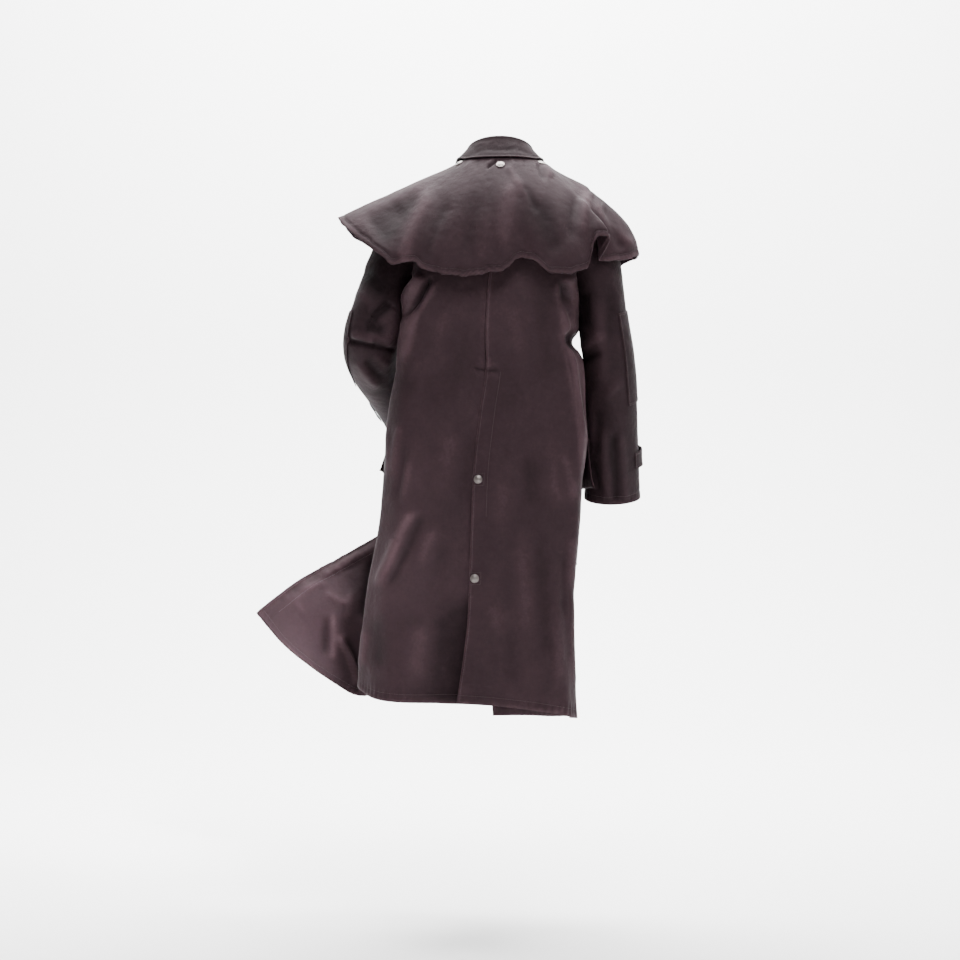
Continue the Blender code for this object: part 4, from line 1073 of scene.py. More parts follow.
def strokes(x, z, table):
    """The sum of a table's strokes at places on the plane: each is a bell curve across its line, whose middle
    bends by the bow as a parabola, times an S curve at each end."""
    total = np.zeros(np.shape(x))
    for row in table:
        x_from, z_from, x_to, z_to, bow, width, height = (value / MILLIMETRES for value in row[:7])
        fade_in, fade_out = (value / HUNDREDTHS for value in row[7:])
        run_x = x_to - x_from
        run_z = z_to - z_from
        length = math.hypot(run_x, run_z)
        t = ((x - x_from) * run_x + (z - z_from) * run_z) / length**2
        aside = ((z - z_from) * run_x - (x - x_from) * run_z) / length
        inside = np.clip(t, 0.0, 1.0)
        middle = bow * 4.0 * inside * (1.0 - inside)
        ends = ease(t / fade_in) * ease((1.0 - t) / fade_out)
        total = total + height * swell(aside, middle, width) * ends
    return total


def facing_back(normals):
    """1 where the cloth faces the back of the coat, 0 where it faces the front, and an S curve between."""
    return ease(0.5 + 1.6 * normals[..., 1])


def drift(points, length, seed):
    """Slow unevenness from -1 to 1: the mean of six sine waves of about one length, in seeded directions."""
    numbers = np.random.default_rng(seed)
    total = np.zeros(points.shape[:-1])
    for _ in range(WAVE_COUNT):
        way = unit(numbers.normal(size=3))
        turns = 2.0 * np.pi / (length * numbers.uniform(*WAVE_SPREAD))
        total = total + np.sin(points @ way * turns + numbers.uniform(0.0, 2.0 * np.pi))
    return total / WAVE_COUNT


def crumple(points, length, seed):
    """Thin ridges from 0 to 1, as stiff cloth has: where one of five warped sine waves crosses zero, a narrow
    bell curve."""
    numbers = np.random.default_rng(seed)
    total = np.zeros(points.shape[:-1])
    warp = drift(points, length * CRUMPLE_WARP[1], seed + 1) * CRUMPLE_WARP[0]
    for _ in range(CRUMPLE_COUNT):
        way = unit(numbers.normal(size=3))
        turns = 2.0 * np.pi / (length * numbers.uniform(*CRUMPLE_SPREAD))
        wave = np.sin(points @ way * turns + warp + numbers.uniform(0.0, 2.0 * np.pi))
        total = total + swell(wave, 0.0, CRUMPLE_WIDTH)
    return total / CRUMPLE_COUNT


def groove(distance, set_in, shape):
    """A groove along a line of stitches: a bell curve of a depth and a half width."""
    return shape[0] * swell(distance, set_in, shape[1])


def sewn_edge(distance, along, set_in, seed):
    """The relief of a hem that is turned in and stitched: a raised roll at the edge, a groove along the
    stitching, and small puckers between them whose length varies along the hem."""
    wander = sum(size * np.sin(along / length + share * seed) for size, length, share in PUCKER_WANDER)
    pucker = np.sin(2.0 * np.pi * along / PUCKER_LENGTH + wander)
    mean, swing, length = PUCKER_STRENGTH
    strength = mean + swing * np.sin(along / length + seed)
    band = swell(distance, set_in * PUCKER_BAND, set_in * PUCKER_BAND)
    relief = HEM_PUCKER * pucker * strength * band - groove(distance, set_in, HEM_GROOVE)
    return relief + HEM_ROLL * ease(1.0 - distance / (set_in * 0.9))


def seam_edge(distance):
    """The relief of a seam that lies flat: a soft welt at the edge and a fine groove along its stitching."""
    welt = SEAM_WELT * ease(1.0 - distance / (2.0 * EDGE_SEAM))
    return welt - groove(distance, EDGE_SEAM + 0.001, SEAM_GROOVE)


def grid_normals(points, closed):
    """Unit normals of a grid: the cross product of its differences across and down."""
    if closed:
        across = np.roll(points, -1, axis=0) - np.roll(points, 1, axis=0)
    else:
        across = np.gradient(points, axis=0)
    return unit(np.cross(across, np.gradient(points, axis=1)))


def run_lengths(points, axis):
    """The length along a grid's lines up to each of its points: the running sum of the steps' lengths."""
    steps = np.linalg.norm(np.diff(points, axis=axis), axis=-1)
    start = np.zeros_like(np.take(steps, [0], axis=axis))
    return np.concatenate([start, np.cumsum(steps, axis=axis)], axis=axis)


class Cloth:
    """A sheet of cloth: a dense grid of points on a surface, moved out along its normals by its relief."""

    def __init__(self, surface, us, vs, relief, centre=(0.03, 0.0, None), closed=False):
        """surface gives points from u and v, and relief their height. centre tells which side is the outer
        one, and a closed cloth joins its last column to its first."""
        self.us = np.asarray(us, dtype=float)
        self.vs = np.asarray(vs, dtype=float)
        self.closed = closed
        self.u, self.v = np.meshgrid(self.us, self.vs, indexing="ij")
        base = surface(self.u, self.v)
        middle = np.array([0.0 if c is None else c for c in centre])
        away = base - middle
        if centre[2] is None:
            away = away * np.array([1.0, 1.0, 0.0])
        if closed:
            away = base - np.mean(base, axis=0, keepdims=True)
        normals = grid_normals(base, closed)
        upper = max(2, len(self.vs) // 3)
        self.outward = 1.0 if np.sum(normals[:, :upper] * away[:, :upper]) > 0 else -1.0
        normals = normals * self.outward
        self.across = run_lengths(base, 0)
        self.down = run_lengths(base, 1)
        self.height = relief(self, base, normals)
        self.points = base + normals * self.height[..., None]
        self.normals = grid_normals(self.points, closed) * self.outward

    def from_start(self):
        """The distance across from the first column."""
        return self.across

    def from_end(self):
        """The distance across from the last column."""
        return self.across[-1:, :] - self.across

    def from_top(self):
        """The distance down from the first row."""
        return self.down

    def from_hem(self):
        """The distance up from the last row."""
        return self.down[:, -1:] - self.down

    def at(self, u, v):
        """Points and normals at any place: the mean of the four grid points round it, by nearness."""
        us, points, normals = self.us, self.points, self.normals
        if self.closed:
            us = np.append(us, us[0] + 1.0)
            points = np.concatenate([points, points[:1]])
            normals = np.concatenate([normals, normals[:1]])
            u = us[0] + (u - us[0]) % 1.0
        fu = np.interp(u, us, np.arange(len(us)))
        fv = np.interp(v, self.vs, np.arange(len(self.vs)))
        i = np.clip(fu.astype(int), 0, len(us) - 2)
        k = np.clip(fv.astype(int), 0, len(self.vs) - 2)
        a = (fu - i)[..., None]
        b = (fv - k)[..., None]

        def mean(grid):
            """The mean of a grid's four corners."""
            first = grid[i, k] * (1 - a) + grid[i + 1, k] * a
            second = grid[i, k + 1] * (1 - a) + grid[i + 1, k + 1] * a
            return first * (1 - b) + second * b

        return mean(points), unit(mean(normals))

    def raised(self, u, v, off):
        """Points that stand off the cloth along its normals."""
        points, normals = self.at(u, v)
        return points + normals * off[..., None]


def new_mesh(name, vertices, faces, smooth=True):
    """A mesh from arrays of vertices and of four-cornered faces."""
    mesh = bpy.data.meshes.new(name)
    corners = faces.shape[1]
    mesh.vertices.add(len(vertices))
    mesh.vertices.foreach_set("co", np.asarray(vertices, dtype=np.float32).ravel())
    mesh.loops.add(faces.size)
    mesh.loops.foreach_set("vertex_index", np.asarray(faces, dtype=np.int32).ravel())
    mesh.polygons.add(len(faces))
    mesh.polygons.foreach_set("loop_start", np.arange(0, faces.size, corners, dtype=np.int32))
    mesh.polygons.foreach_set("loop_total", np.full(len(faces), corners, dtype=np.int32))
    mesh.update(calc_edges=True)
    mesh.validate()
    if smooth:
        mesh.shade_smooth()
    return mesh


def number_attribute(mesh, name, values):
    """Gives a mesh a number for each of its vertices."""
    layer = mesh.attributes.new(name, "FLOAT", "POINT")
    layer.data.foreach_set("value", np.asarray(values, dtype=np.float32).ravel())


def place(name, mesh, slot, material, node=None):
    """Puts a mesh in the scene as a piece of the coat, in place of its solid."""
    thing = bpy.data.objects.new(name, mesh)
    bpy.context.scene.collection.objects.link(thing)
    mesh.materials.append(material)
    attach(thing, "root")
    if node:
        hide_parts(node)
    return thing


def shell(name, cloth, thickness, worn, slot, material, node, doubled=0.0):
    """A closed thin wall round a cloth: its grid moved half the thickness out and in along the normals, and
    joined round the open edges. Where the hem is turned in, the inner side lies lower by doubled. The wear it
    is given is how near each point is to an edge that rubs, from 0 to 1, less the painted shade that darkens
    the sleeves and the collar. The relief is kept for painted highlight on ridges and painted shade in
    troughs."""
    wide, tall = cloth.u.shape
    count = wide * tall
    turned = doubled * ease(1.0 - (cloth.from_hem() - HEM_SEAM) / HEM_STEP)
    outer = cloth.points + cloth.normals * (thickness / 2)
    inner = cloth.points - cloth.normals * (thickness / 2 + turned)[..., None]
    number = np.arange(count).reshape(wide, tall)
    if cloth.closed:
        number = np.concatenate([number, number[:1]])
    a, b = number[:-1, :-1], number[1:, :-1]
    c, d = number[1:, 1:], number[:-1, 1:]
    front = np.stack([a, b, c, d], axis=-1).reshape(-1, 4)
    back = np.stack([a, d, c, b], axis=-1).reshape(-1, 4) + count
    edges = [(number[:, 0], False), (number[:, -1], True)]
    if not cloth.closed:
        edges += [(number[0], True), (number[-1], False)]
    rims = []
    for line, flip in edges:
        rim = np.stack([line[:-1], line[:-1] + count, line[1:] + count, line[1:]], axis=-1)
        rims.append(rim[:, ::-1] if flip else rim)
    faces = np.concatenate([front, back] + rims)
    if cloth.outward < 0:
        faces = faces[:, ::-1]
    mesh = new_mesh(name, np.concatenate([outer.reshape(-1, 3), inner.reshape(-1, 3)]), faces)
    # The relief's height, kept for the colour: painted highlight on ridges, painted shade in troughs, the
    # other way on the inner face.
    relief_shading = np.clip(cloth.height / FULL_SHADING_RELIEF, -1.0, 1.0).ravel()
    number_attribute(mesh, "relief_shading", np.concatenate([relief_shading, -relief_shading]))
    # Wear of the rubbed edges, lowered by painted shade on the sleeves and the collar.
    number_attribute(mesh, "worn", np.concatenate([worn.ravel(), worn.ravel()]))
    layer = mesh.uv_layers.new(name="cloth")
    corner_vertices = np.empty(len(mesh.loops), dtype=np.int32)
    mesh.loops.foreach_get("vertex_index", corner_vertices)
    places = np.stack([cloth.across.ravel(), cloth.down.ravel()], axis=-1)
    places = np.concatenate([places, places])
    layer.data.foreach_set("uv", places[corner_vertices].astype(np.float32).ravel())
    return place(name, mesh, slot, material, node)


def stitch_form():
    """One stitch along +X: a square ring at each of two stations and a point at both ends."""
    ring = np.array([[0.0, 1.0, 0.0], [0.0, 0.0, 1.0], [0.0, -1.0, 0.0], [0.0, 0.0, -1.0]])
    first = ring + np.array([-0.55, 0.0, 0.0])
    second = ring + np.array([0.55, 0.0, 0.0])
    tips = np.array([[-1.0, 0.0, -0.4], [1.0, 0.0, -0.4]])
    faces = []
    for i in range(4):
        j = (i + 1) % 4
        faces.append((i, 4 + i, 4 + j))
        faces.append((i, 4 + j, j))
        faces.append((8, i, j))
        faces.append((9, 4 + j, 4 + i))
    return np.concatenate([first, second, tips]), np.array(faces)


def sew(name, cloth, seams, off, slot, material):
    """Stitches along a cloth's seams, each a line of places, with the thread off from the cloth's middle.
    They are spread evenly by the seam's own length, and each takes the seam's direction there."""
    form, form_faces = stitch_form()
    vertices = []
    faces = []
    total = 0
    for u, v in seams:
        length = run_lengths(cloth.at(u, v)[0], 0)
        count = max(2, int(length[-1] / STITCH_STEP))
        here = (np.arange(count) + 0.5) * length[-1] / count
        there = here + STITCH_HALF
        at, out = cloth.at(np.interp(here, length, u), np.interp(here, length, v))
        ahead = cloth.at(np.interp(there, length, u), np.interp(there, length, v))[0]
        way = unit(ahead - at + TINY)
        aside = unit(np.cross(out, way))
        middle = at + out * off
        block = (
            middle[:, None, :]
            + form[None, :, 0, None] * way[:, None, :] * STITCH_HALF
            + form[None, :, 1, None] * aside[:, None, :] * STITCH_RADIUS
            + form[None, :, 2, None] * out[:, None, :] * STITCH_RADIUS
        )
        vertices.append(block.reshape(-1, 3))
        numbers = np.arange(count)[:, None, None] * len(form) + form_faces[None] + total
        faces.append(numbers.reshape(-1, 3))
        total += count * len(form)
    mesh = new_mesh(name, np.concatenate(vertices), np.concatenate(faces))
    return place(name, mesh, slot, material)


def down_line(cloth, side, distance, start=0.0, end=1.0, steps=SEAM_STEPS):
    """Places at one distance from the first column (side 0) or the last (side 1), from one share of the way
    down to another."""
    rows = np.linspace(start, end, steps) * (len(cloth.vs) - 1)
    v = np.interp(rows, np.arange(len(cloth.vs)), cloth.vs)
    u = np.empty(steps)
    for n, row in enumerate(rows):
        lengths = cloth.across[:, int(row)]
        wanted = distance if side == 0 else lengths[-1] - distance
        u[n] = np.interp(wanted, lengths, cloth.us)
    return u, v


def across_line(cloth, side, distance, steps=SEAM_STEPS):
    """Places at one distance from the first row (side 0) or the last (side 1), over the whole width."""
    columns = np.linspace(0.0, 1.0, steps) * (len(cloth.us) - 1)
    u = np.interp(columns, np.arange(len(cloth.us)), cloth.us)
    v = np.empty(steps)
    for n, column_number in enumerate(columns):
        lengths = cloth.down[int(column_number)]
        wanted = distance if side == 0 else lengths[-1] - distance
        v[n] = np.interp(wanted, lengths, cloth.vs)
    return u, v


class Socket:
    """A shader socket that can be reckoned with: each operation adds a Math node."""

    def __init__(self, tree, link):
        """tree is the node tree, and link the output that the socket stands for."""
        self.tree = tree
        self.link = link

    def reckon(self, operation, *values):
        """The output of a Math node of these values."""
        return node(self.tree, "ShaderNodeMath", {"operation": operation}, dict(enumerate(values)))

    def __add__(self, other):
        """The sum of this and another value."""
        return self.reckon("ADD", self, other)

    def __sub__(self, other):
        """This less another value."""
        return self.reckon("SUBTRACT", self, other)

    def __mul__(self, other):
        """This times another value."""
        return self.reckon("MULTIPLY", self, other)

    def __rsub__(self, other):
        """Another value less this."""
        return self.reckon("SUBTRACT", other, self)

    __radd__ = __add__
    __rmul__ = __mul__

    def clipped(self, low=0.0, high=1.0):
        """The value, kept between two others."""
        return self.reckon("MAXIMUM", low, self.reckon("MINIMUM", self, high))


def node(tree, kind, settings=None, values=None, output=0):
    """Adds a node: its settings first, then its sockets' values or links. Returns one of its outputs."""
    made = tree.nodes.new(kind)
    for name, value in (settings or {}).items():
        setattr(made, name, value)
    for name, value in (values or {}).items():
        if isinstance(value, Socket):
            tree.links.new(value.link, made.inputs[name])
        else:
            made.inputs[name].default_value = value
    return Socket(tree, made.outputs[output])


def blended(tree, share, first, second):
    """A colour between two, by a share."""
    made = tree.nodes.new("ShaderNodeMix")
    made.data_type = "RGBA"
    for socket, value in zip((made.inputs[0], made.inputs[6], made.inputs[7]), (share, first, second)):
        if isinstance(value, Socket):
            tree.links.new(value.link, socket)
        else:
            socket.default_value = value
    return Socket(tree, made.outputs[2])


def new_material(name):
    """A material with an empty Principled shader, and its tree."""
    material = bpy.data.materials.new(name)
    material.use_nodes = True
    tree = material.node_tree
    shader = tree.nodes["Principled BSDF"]
    return material, tree, shader


def waxed_cotton(name, deep, middle, light, seed):
    """Waxed cotton: brown with painted highlight on ridges and painted shade in troughs, paler on rubbed
    edges and darker by painted shade on the sleeves and the collar, with cloudy wax, fine wrinkles and a
    close weave."""
    material, tree, shader = new_material(name)
    where = node(tree, "ShaderNodeTexCoord", output=3)
    cloth_uv = node(tree, "ShaderNodeUVMap", {"uv_map": "cloth"})
    relief_shading = node(tree, "ShaderNodeAttribute", {"attribute_name": "relief_shading"}, output=2)
    worn = node(tree, "ShaderNodeAttribute", {"attribute_name": "worn"}, output=2)
    cloudy = node(
        tree,
        "ShaderNodeTexNoise",
        None,
        {"Vector": where, "Scale": 7.0 + seed, "Detail": 5.0, "Roughness": 0.6},
    )
    speckle = node(tree, "ShaderNodeTexNoise", None, {"Vector": where, "Scale": 190.0, "Detail": 3.0})
    wrinkle = node(
        tree,
        "ShaderNodeTexNoise",
        {"noise_type": "RIDGED_MULTIFRACTAL"},
        {"Vector": where, "Scale": 24.0, "Detail": 6.0, "Roughness": 0.5, "Distortion": 0.6},
    )
    # Paleness: painted highlight and shade from the relief, cloudy wax, wear with the painted shade of
    # sleeves and collar, speckle and wrinkles.
    pale = relief_shading * PALER["relief_shading"] + (cloudy - 0.5) * PALER["cloudy"] + worn * PALER["worn"]
    pale = pale + (speckle - 0.5) * PALER["speckle"] + wrinkle * PALER["wrinkle"] + PALER["all"]
    pale = pale.clipped()
    low = blended(tree, (pale * 2.0).clipped(), deep, middle)
    colour = blended(tree, (pale * 2.0 - 1.0).clipped(), low, light)
    tree.links.new(colour.link, shader.inputs["Base Color"])
    rough = (0.78 - pale * 0.10 + (cloudy - 0.5) * 0.12).clipped(0.45, 0.9)
    tree.links.new(rough.link, shader.inputs["Roughness"])
    weave_map = node(tree, "ShaderNodeMapping", None, {"Vector": cloth_uv, "Scale": (900.0, 900.0, 1.0)})
    weave = node(tree, "ShaderNodeTexNoise", None, {"Vector": weave_map, "Scale": 1.0, "Detail": 1.0})
    crumpled = node(tree, "ShaderNodeTexNoise", None, {"Vector": where, "Scale": 48.0, "Detail": 7.0})
    height = wrinkle * 0.35 + crumpled * 1.0 + weave * 0.08
    bump = node(tree, "ShaderNodeBump", None, {"Height": height, "Strength": 0.8, "Distance": 0.0030})
    tree.links.new(bump.link, shader.inputs["Normal"])
    shader.inputs["Sheen Weight"].default_value = 0.01
    shader.inputs["Sheen Roughness"].default_value = 0.45
    shader.inputs["Sheen Tint"].default_value = (1.0, 0.86, 0.88, 1.0)
    shader.inputs["Specular IOR Level"].default_value = 0.10
    return material


def thread_finish():
    """Sewing thread: a matt brown a little paler than the cloth."""
    material, tree, shader = new_material("sewing_thread")
    where = node(tree, "ShaderNodeTexCoord", output=3)
    uneven = node(tree, "ShaderNodeTexNoise", None, {"Vector": where, "Scale": 220.0, "Detail": 2.0})
    colour = blended(tree, uneven, (0.024, 0.0142, 0.0165, 1.0), (0.052, 0.0325, 0.0365, 1.0))
    tree.links.new(colour.link, shader.inputs["Base Color"])
    shader.inputs["Roughness"].default_value = 0.8
    return material


def snap_finish():
    """Pewter-plated brass: satin, a little stained, with fine turning marks and rubbed places."""
    material, tree, shader = new_material("pewter_snap")
    where = node(tree, "ShaderNodeTexCoord", output=3)
    stain = node(tree, "ShaderNodeTexNoise", None, {"Vector": where, "Scale": 260.0, "Detail": 4.0})
    fine = node(tree, "ShaderNodeTexNoise", None, {"Vector": where, "Scale": 1400.0, "Detail": 2.0})
    colour = blended(tree, stain, (0.10, 0.087, 0.083, 1.0), (0.27, 0.242, 0.231, 1.0))
    tree.links.new(colour.link, shader.inputs["Base Color"])
    rough = (0.30 + stain * 0.18).clipped()
    tree.links.new(rough.link, shader.inputs["Roughness"])
    bump = node(tree, "ShaderNodeBump", None, {"Height": fine, "Strength": 0.15, "Distance": 0.0002})
    tree.links.new(bump.link, shader.inputs["Normal"])
    shader.inputs["Metallic"].default_value = 0.92
    return material


def edge_wear(cloth, start=False, end=False, top=False, hem=False, reach=WEAR_REACH):
    """How near each point lies to the named edges, from 0 to 1."""
    worn = np.zeros(cloth.u.shape)
    for wanted, distance in (
        (start, cloth.from_start()),
        (end, cloth.from_end()),
        (top, cloth.from_top()),
        (hem, cloth.from_hem()),
    ):
        if wanted:
            worn = np.maximum(worn, ease(1.0 - distance / reach))
    return worn


def stroked(base, normals, back_table, front_table):
    """Strokes of the coat's back where cloth faces the back, and of its front where it faces the front."""
    x, z = seen(base)
    share = facing_back(normals)
    front = strokes(base[..., 0], base[..., 2], front_table)
    return strokes(x, z, back_table) * share + front * (1.0 - share)


def cloth_noise(base, seed):
    """Unevenness that all the cloth has: slow waves, and thin crumpled ridges where those are high."""
    slow = drift(base, WAVES[1], seed)
    return WAVES[0] * slow + CRUMPLES[0] * crumple(base, CRUMPLES[1], seed + 7) * ease(0.5 + slow)


def side_bulge(base, normals, side):
    """How far a side of the coat stands out: its table by height, where the cloth faces sideways."""
    heights = column(SIDE_BULGE, SIDE_COLUMNS, "height")
    reaches = column(SIDE_BULGE, SIDE_COLUMNS, "left" if side > 0 else "right")
    extra = smooth_table(base[..., 2], heights, reaches)
    extra = np.where((base[..., 2] < heights[0]) | (base[..., 2] > heights[-1]), 0.0, extra)
    return extra * ease((side * normals[..., 0] - SIDEWAYS[0]) / SIDEWAYS[1])


def back_relief(seed, seam_side):
    """The back panels' relief: strokes, unevenness, the hem, the centre seam and the side seam."""

    def relief(cloth, base, normals):
        """The height at each point. The right back's centre edge is a seam above the vent and a hem below."""
        height = stroked(base, normals, BACK_STROKES, FRONT_STROKES) + cloth_noise(base, seed)
        if seam_side > 0:
            height = height + strokes(*seen(base), BACK_LEFT_STROKES)
        height = height + side_bulge(base, normals, seam_side)
        height = height + sewn_edge(cloth.from_hem(), cloth.across, HEM_SEAM, seed)
        height = height + seam_edge(cloth.from_end())
        below = ease((VENT_TOP - base[..., 2]) / VENT_RAMP)
        start = cloth.from_start()
        if seam_side < 0:
            closed = seam_edge(start)
            opened = sewn_edge(start, cloth.down, OPEN_EDGE_SEAM, seed + 3)
            fade_in = ease((cloth.v - VENT_FACING_FADE_IN[0]) / VENT_FACING_FADE_IN[1])
            facing = -groove(start, FACING_SEAM, VENT_FACING_GROOVE) * fade_in
            facing = facing * ease((VENT_FACING_SHARE - cloth.v) / VENT_FACING_FADE_OUT)
            height = height + closed * (1 - below) + (opened + facing) * below
        return height

    return relief


def front_relief(seed, side):
    """The fronts' relief: strokes, unevenness, the hem, the side seam, the front edge and its facing."""

    def relief(cloth, base, normals):
        """The height at each point. Only the left front has the stitched facing."""
        back_table = FLARE_STROKES if side > 0 else BACK_STROKES
        height = stroked(base, normals, back_table, FRONT_STROKES) + cloth_noise(base, seed)
        height = height + side_bulge(base, normals, side)
        height = height + sewn_edge(cloth.from_hem(), cloth.across, HEM_SEAM, seed)
        height = height + seam_edge(cloth.from_start())
        height = height + sewn_edge(cloth.from_end(), cloth.down, OPEN_EDGE_SEAM, seed + 5)
        if side > 0:
            height = height - groove(cloth.from_end(), FACING_SEAM, FRONT_FACING_GROOVE)
        return height

    return relief


def sleeve_relief(side):
    """A sleeve's relief: strokes, unevenness and the cuff's hem, fading out where it meets the armhole."""

    def relief(cloth, base, normals):
        """The height at each point. Only the left sleeve has the bunched inner side."""
        table = LEFT_SLEEVE_STROKES if side > 0 else RIGHT_SLEEVE_STROKES
        height = stroked(base, normals, table, SLEEVE_FRONT_STROKES)
        height = height + cloth_noise(base, 31 + side)
        inside = ease((-side * normals[..., 0] - INWARDS[0]) / INWARDS[1])
        if side > 0:
            near = swell(base[..., 2], SLEEVE_INSIDE_Z, SLEEVE_INSIDE_REACH)
            height = height + SLEEVE_INSIDE * inside * near
        height = height + sewn_edge(cloth.from_hem(), cloth.across, HEM_SEAM, 4.0)
        top = ease(1.0 - cloth.from_top() / ARMHOLE_FADE[1])
        return height * (1.0 - ARMHOLE_FADE[0] * top)

    return relief


def cape_relief(cloth, base, normals):
    """The cape's relief: strokes, unevenness, its hem and its front edges, fading out at the neck."""
    height = stroked(base, normals, CAPE_STROKES, CAPE_FRONT_STROKES) + cloth_noise(base, 12)
    height = height + CAPE_HEM_RELIEF * sewn_edge(cloth.from_hem(), cloth.across, CAPE_HEM_SEAM, 2.0)
    for distance in (cloth.from_start(), cloth.from_end()):
        height = height + sewn_edge(distance, cloth.down, CAPE_EDGE_SEAM, 6.0)
    return height * ease(CAPE_NECK_FADE[0] + cloth.from_top() / CAPE_NECK_FADE[1])


def wavering_cape(angle, r):
    """The cape with a hem that wavers: its length grows and shrinks by a few sine waves of the angle, and by
    a bell curve for each tongue."""
    longer = 0.0
    for period, share, start in CAPE_WAVES:
        longer = longer + share * np.sin(angle / period * 2.0 * np.pi + start)
    for middle, width, share in CAPE_TONGUES:
        longer = longer + share * swell(angle, middle, width)
    return cape(angle, r + longer * np.asarray(r) ** CAPE_LONGER_GROWTH)


def patch_relief(seed):
    """A sewn-on piece's relief: slow unevenness and its stitched edges."""

    def relief(cloth, base, normals):
        """The height at each point."""
        height = PATCH_WAVES[0] * drift(base, PATCH_WAVES[1], seed)
        for distance in (cloth.from_start(), cloth.from_end(), cloth.from_hem()):
            height = height + seam_edge(distance)
        return height

    return relief


def dress(name, cloth, kind, worn, seams, doubled=0.0):
    """Adds a piece of cloth and its sewing. kind is its thickness, its slot, which is not used, its finish
    and its thread's finish, and each seam is a line of places on it."""
    thickness, slot, finish, thread = kind
    piece = shell(name + "_cloth", cloth, thickness, worn, slot, finish, name, doubled)
    off = thickness / 2 + STITCH_RADIUS * STITCH_PROUD
    sewing = sew(name + "_sewing", cloth, seams, off, slot, thread)


def round_seams(cloth, from_top=EDGE_SEAM):
    """The seams along the four edges of a sewn-on piece."""
    return [
        across_line(cloth, 0, from_top),
        across_line(cloth, 1, EDGE_SEAM),
        down_line(cloth, 0, EDGE_SEAM),
        down_line(cloth, 1, EDGE_SEAM),
    ]


def snap_cap(name, cloth, u, v, slot, material):
    """A domed snap cap with a rolled rim, on the cloth's outer face: a profile turned round the normal at its
    place."""
    point, normal = cloth.at(np.float64(u), np.float64(v))
    first = unit(np.cross(normal, [0.0, 0.0, 1.0]))
    second = np.cross(normal, first)
    base = point + normal * (CLOTH / 2 - SNAP_SINK)
    turn = 2.0 * np.pi * np.arange(SNAP_FINE_SIDES) / SNAP_FINE_SIDES
    ring = np.cos(turn)[:, None] * first + np.sin(turn)[:, None] * second
    wide = np.array([row[0] for row in SNAP_CAP])
    high = np.array([row[1] for row in SNAP_CAP])
    points = base + ring[None] * (SNAP_RADIUS * wide)[:, None, None]
    points = points + normal * (SNAP_HEIGHT * high)[:, None, None]
    count = len(SNAP_CAP)
    number = np.arange(count * SNAP_FINE_SIDES).reshape(count, SNAP_FINE_SIDES)
    after = np.roll(number, -1, axis=1)
    sides = np.stack([number[:-1], after[:-1], after[1:], number[1:]], axis=-1).reshape(-1, 4)
    vertices = np.concatenate([points.reshape(-1, 3), [base], [base + normal * SNAP_HEIGHT * high[-1]]])
    triangles = np.concatenate([
        np.stack([sides[:, 0], sides[:, 1], sides[:, 2]], axis=-1),
        np.stack([sides[:, 0], sides[:, 2], sides[:, 3]], axis=-1),
        np.stack([np.full(SNAP_FINE_SIDES, len(vertices) - 2), after[0], number[0]], axis=-1),
        np.stack([np.full(SNAP_FINE_SIDES, len(vertices) - 1), number[-1], after[-1]], axis=-1),
    ])
    if np.dot(np.cross(first, second), normal) < 0:
        triangles = triangles[:, ::-1]
    mesh = new_mesh(name, vertices, triangles)
    return place(name + "_cap", mesh, slot, material, name)


def square_line(cloth, u, v, half, steps=60):
    """Places on a small square round a point of a cloth, by its own distances across and down."""
    i = int(np.argmin(np.abs(cloth.us - u)))
    k = int(np.argmin(np.abs(cloth.vs - v)))
    across = np.interp(u, cloth.us, cloth.across[:, k])
    down = np.interp(v, cloth.vs, cloth.down[i])
    corners = np.array([(-1, -1), (1, -1), (1, 1), (-1, 1), (-1, -1)], dtype=float) * half
    t = np.linspace(0.0, 4.0, steps)
    x = np.interp(t, np.arange(5), corners[:, 0]) + across
    y = np.interp(t, np.arange(5), corners[:, 1]) + down
    return np.interp(x, cloth.across[:, k], cloth.us), np.interp(y, cloth.down[i], cloth.vs)


def grid_steps(start, end, count):
    """Even steps between two values, both ends in."""
    return np.linspace(start, end, count + 1)


def share_of(value, first, last):
    """Where a value lies between two, from 0 to 1."""
    return np.clip((value - first) / (last - first), 0.0, 1.0)


def dress_backs(kind):
    """Both back panels, with their hem, seam and vent stitching."""
    made = {}
    across, down = FINE_BACK
    for name, surface, side, seed in (("back_right", back_right, -1, 3), ("back_left", back_left, 1, 9)):
        cloth = Cloth(surface, grid_steps(0.0, 1.0, across), dense_rows(down), back_relief(seed, side))
        worn = edge_wear(cloth, start=side < 0, end=True, hem=True)
        seams = [across_line(cloth, 1, HEM_SEAM), down_line(cloth, 1, EDGE_SEAM, *SEAM_RUN)]
        if side < 0:
            seams.append(down_line(cloth, 0, EDGE_SEAM, *SEAM_RUN))
            seams.append(down_line(cloth, 0, FACING_SEAM, VENT_ROW, VENT_FACING_ROW, SHORT_SEAM_STEPS))
            for z in VENT_SNAP_HEIGHTS:
                seams.append(square_line(cloth, *vent_snap_place(cloth, z), VENT_SQUARE_HALF))
        dress(name, cloth, kind, worn, seams, HEM_DOUBLED)
        made[name] = cloth
    return made


def vent_snap_place(cloth, z):
    """Where a vent snap sits on the right back, from its height and its distance from the vent's edge."""
    v = (z - UNDERARM_Z) / (float(hem_height(0.0)) - UNDERARM_Z)
    k = int(np.argmin(np.abs(cloth.vs - v)))
    return float(np.interp(VENT_SNAP_IN, cloth.across[:, k], cloth.us)), v


def dense_rows(count):
    """Rows of a panel from its top edge to its hem: about a fifth above the underarm, the rest below."""
    above = int(count * ABOVE_UNDERARM)
    upper = np.linspace(-1.0, 0.0, above, endpoint=False)
    return np.concatenate([upper, np.linspace(0.0, 1.0, count - above)])


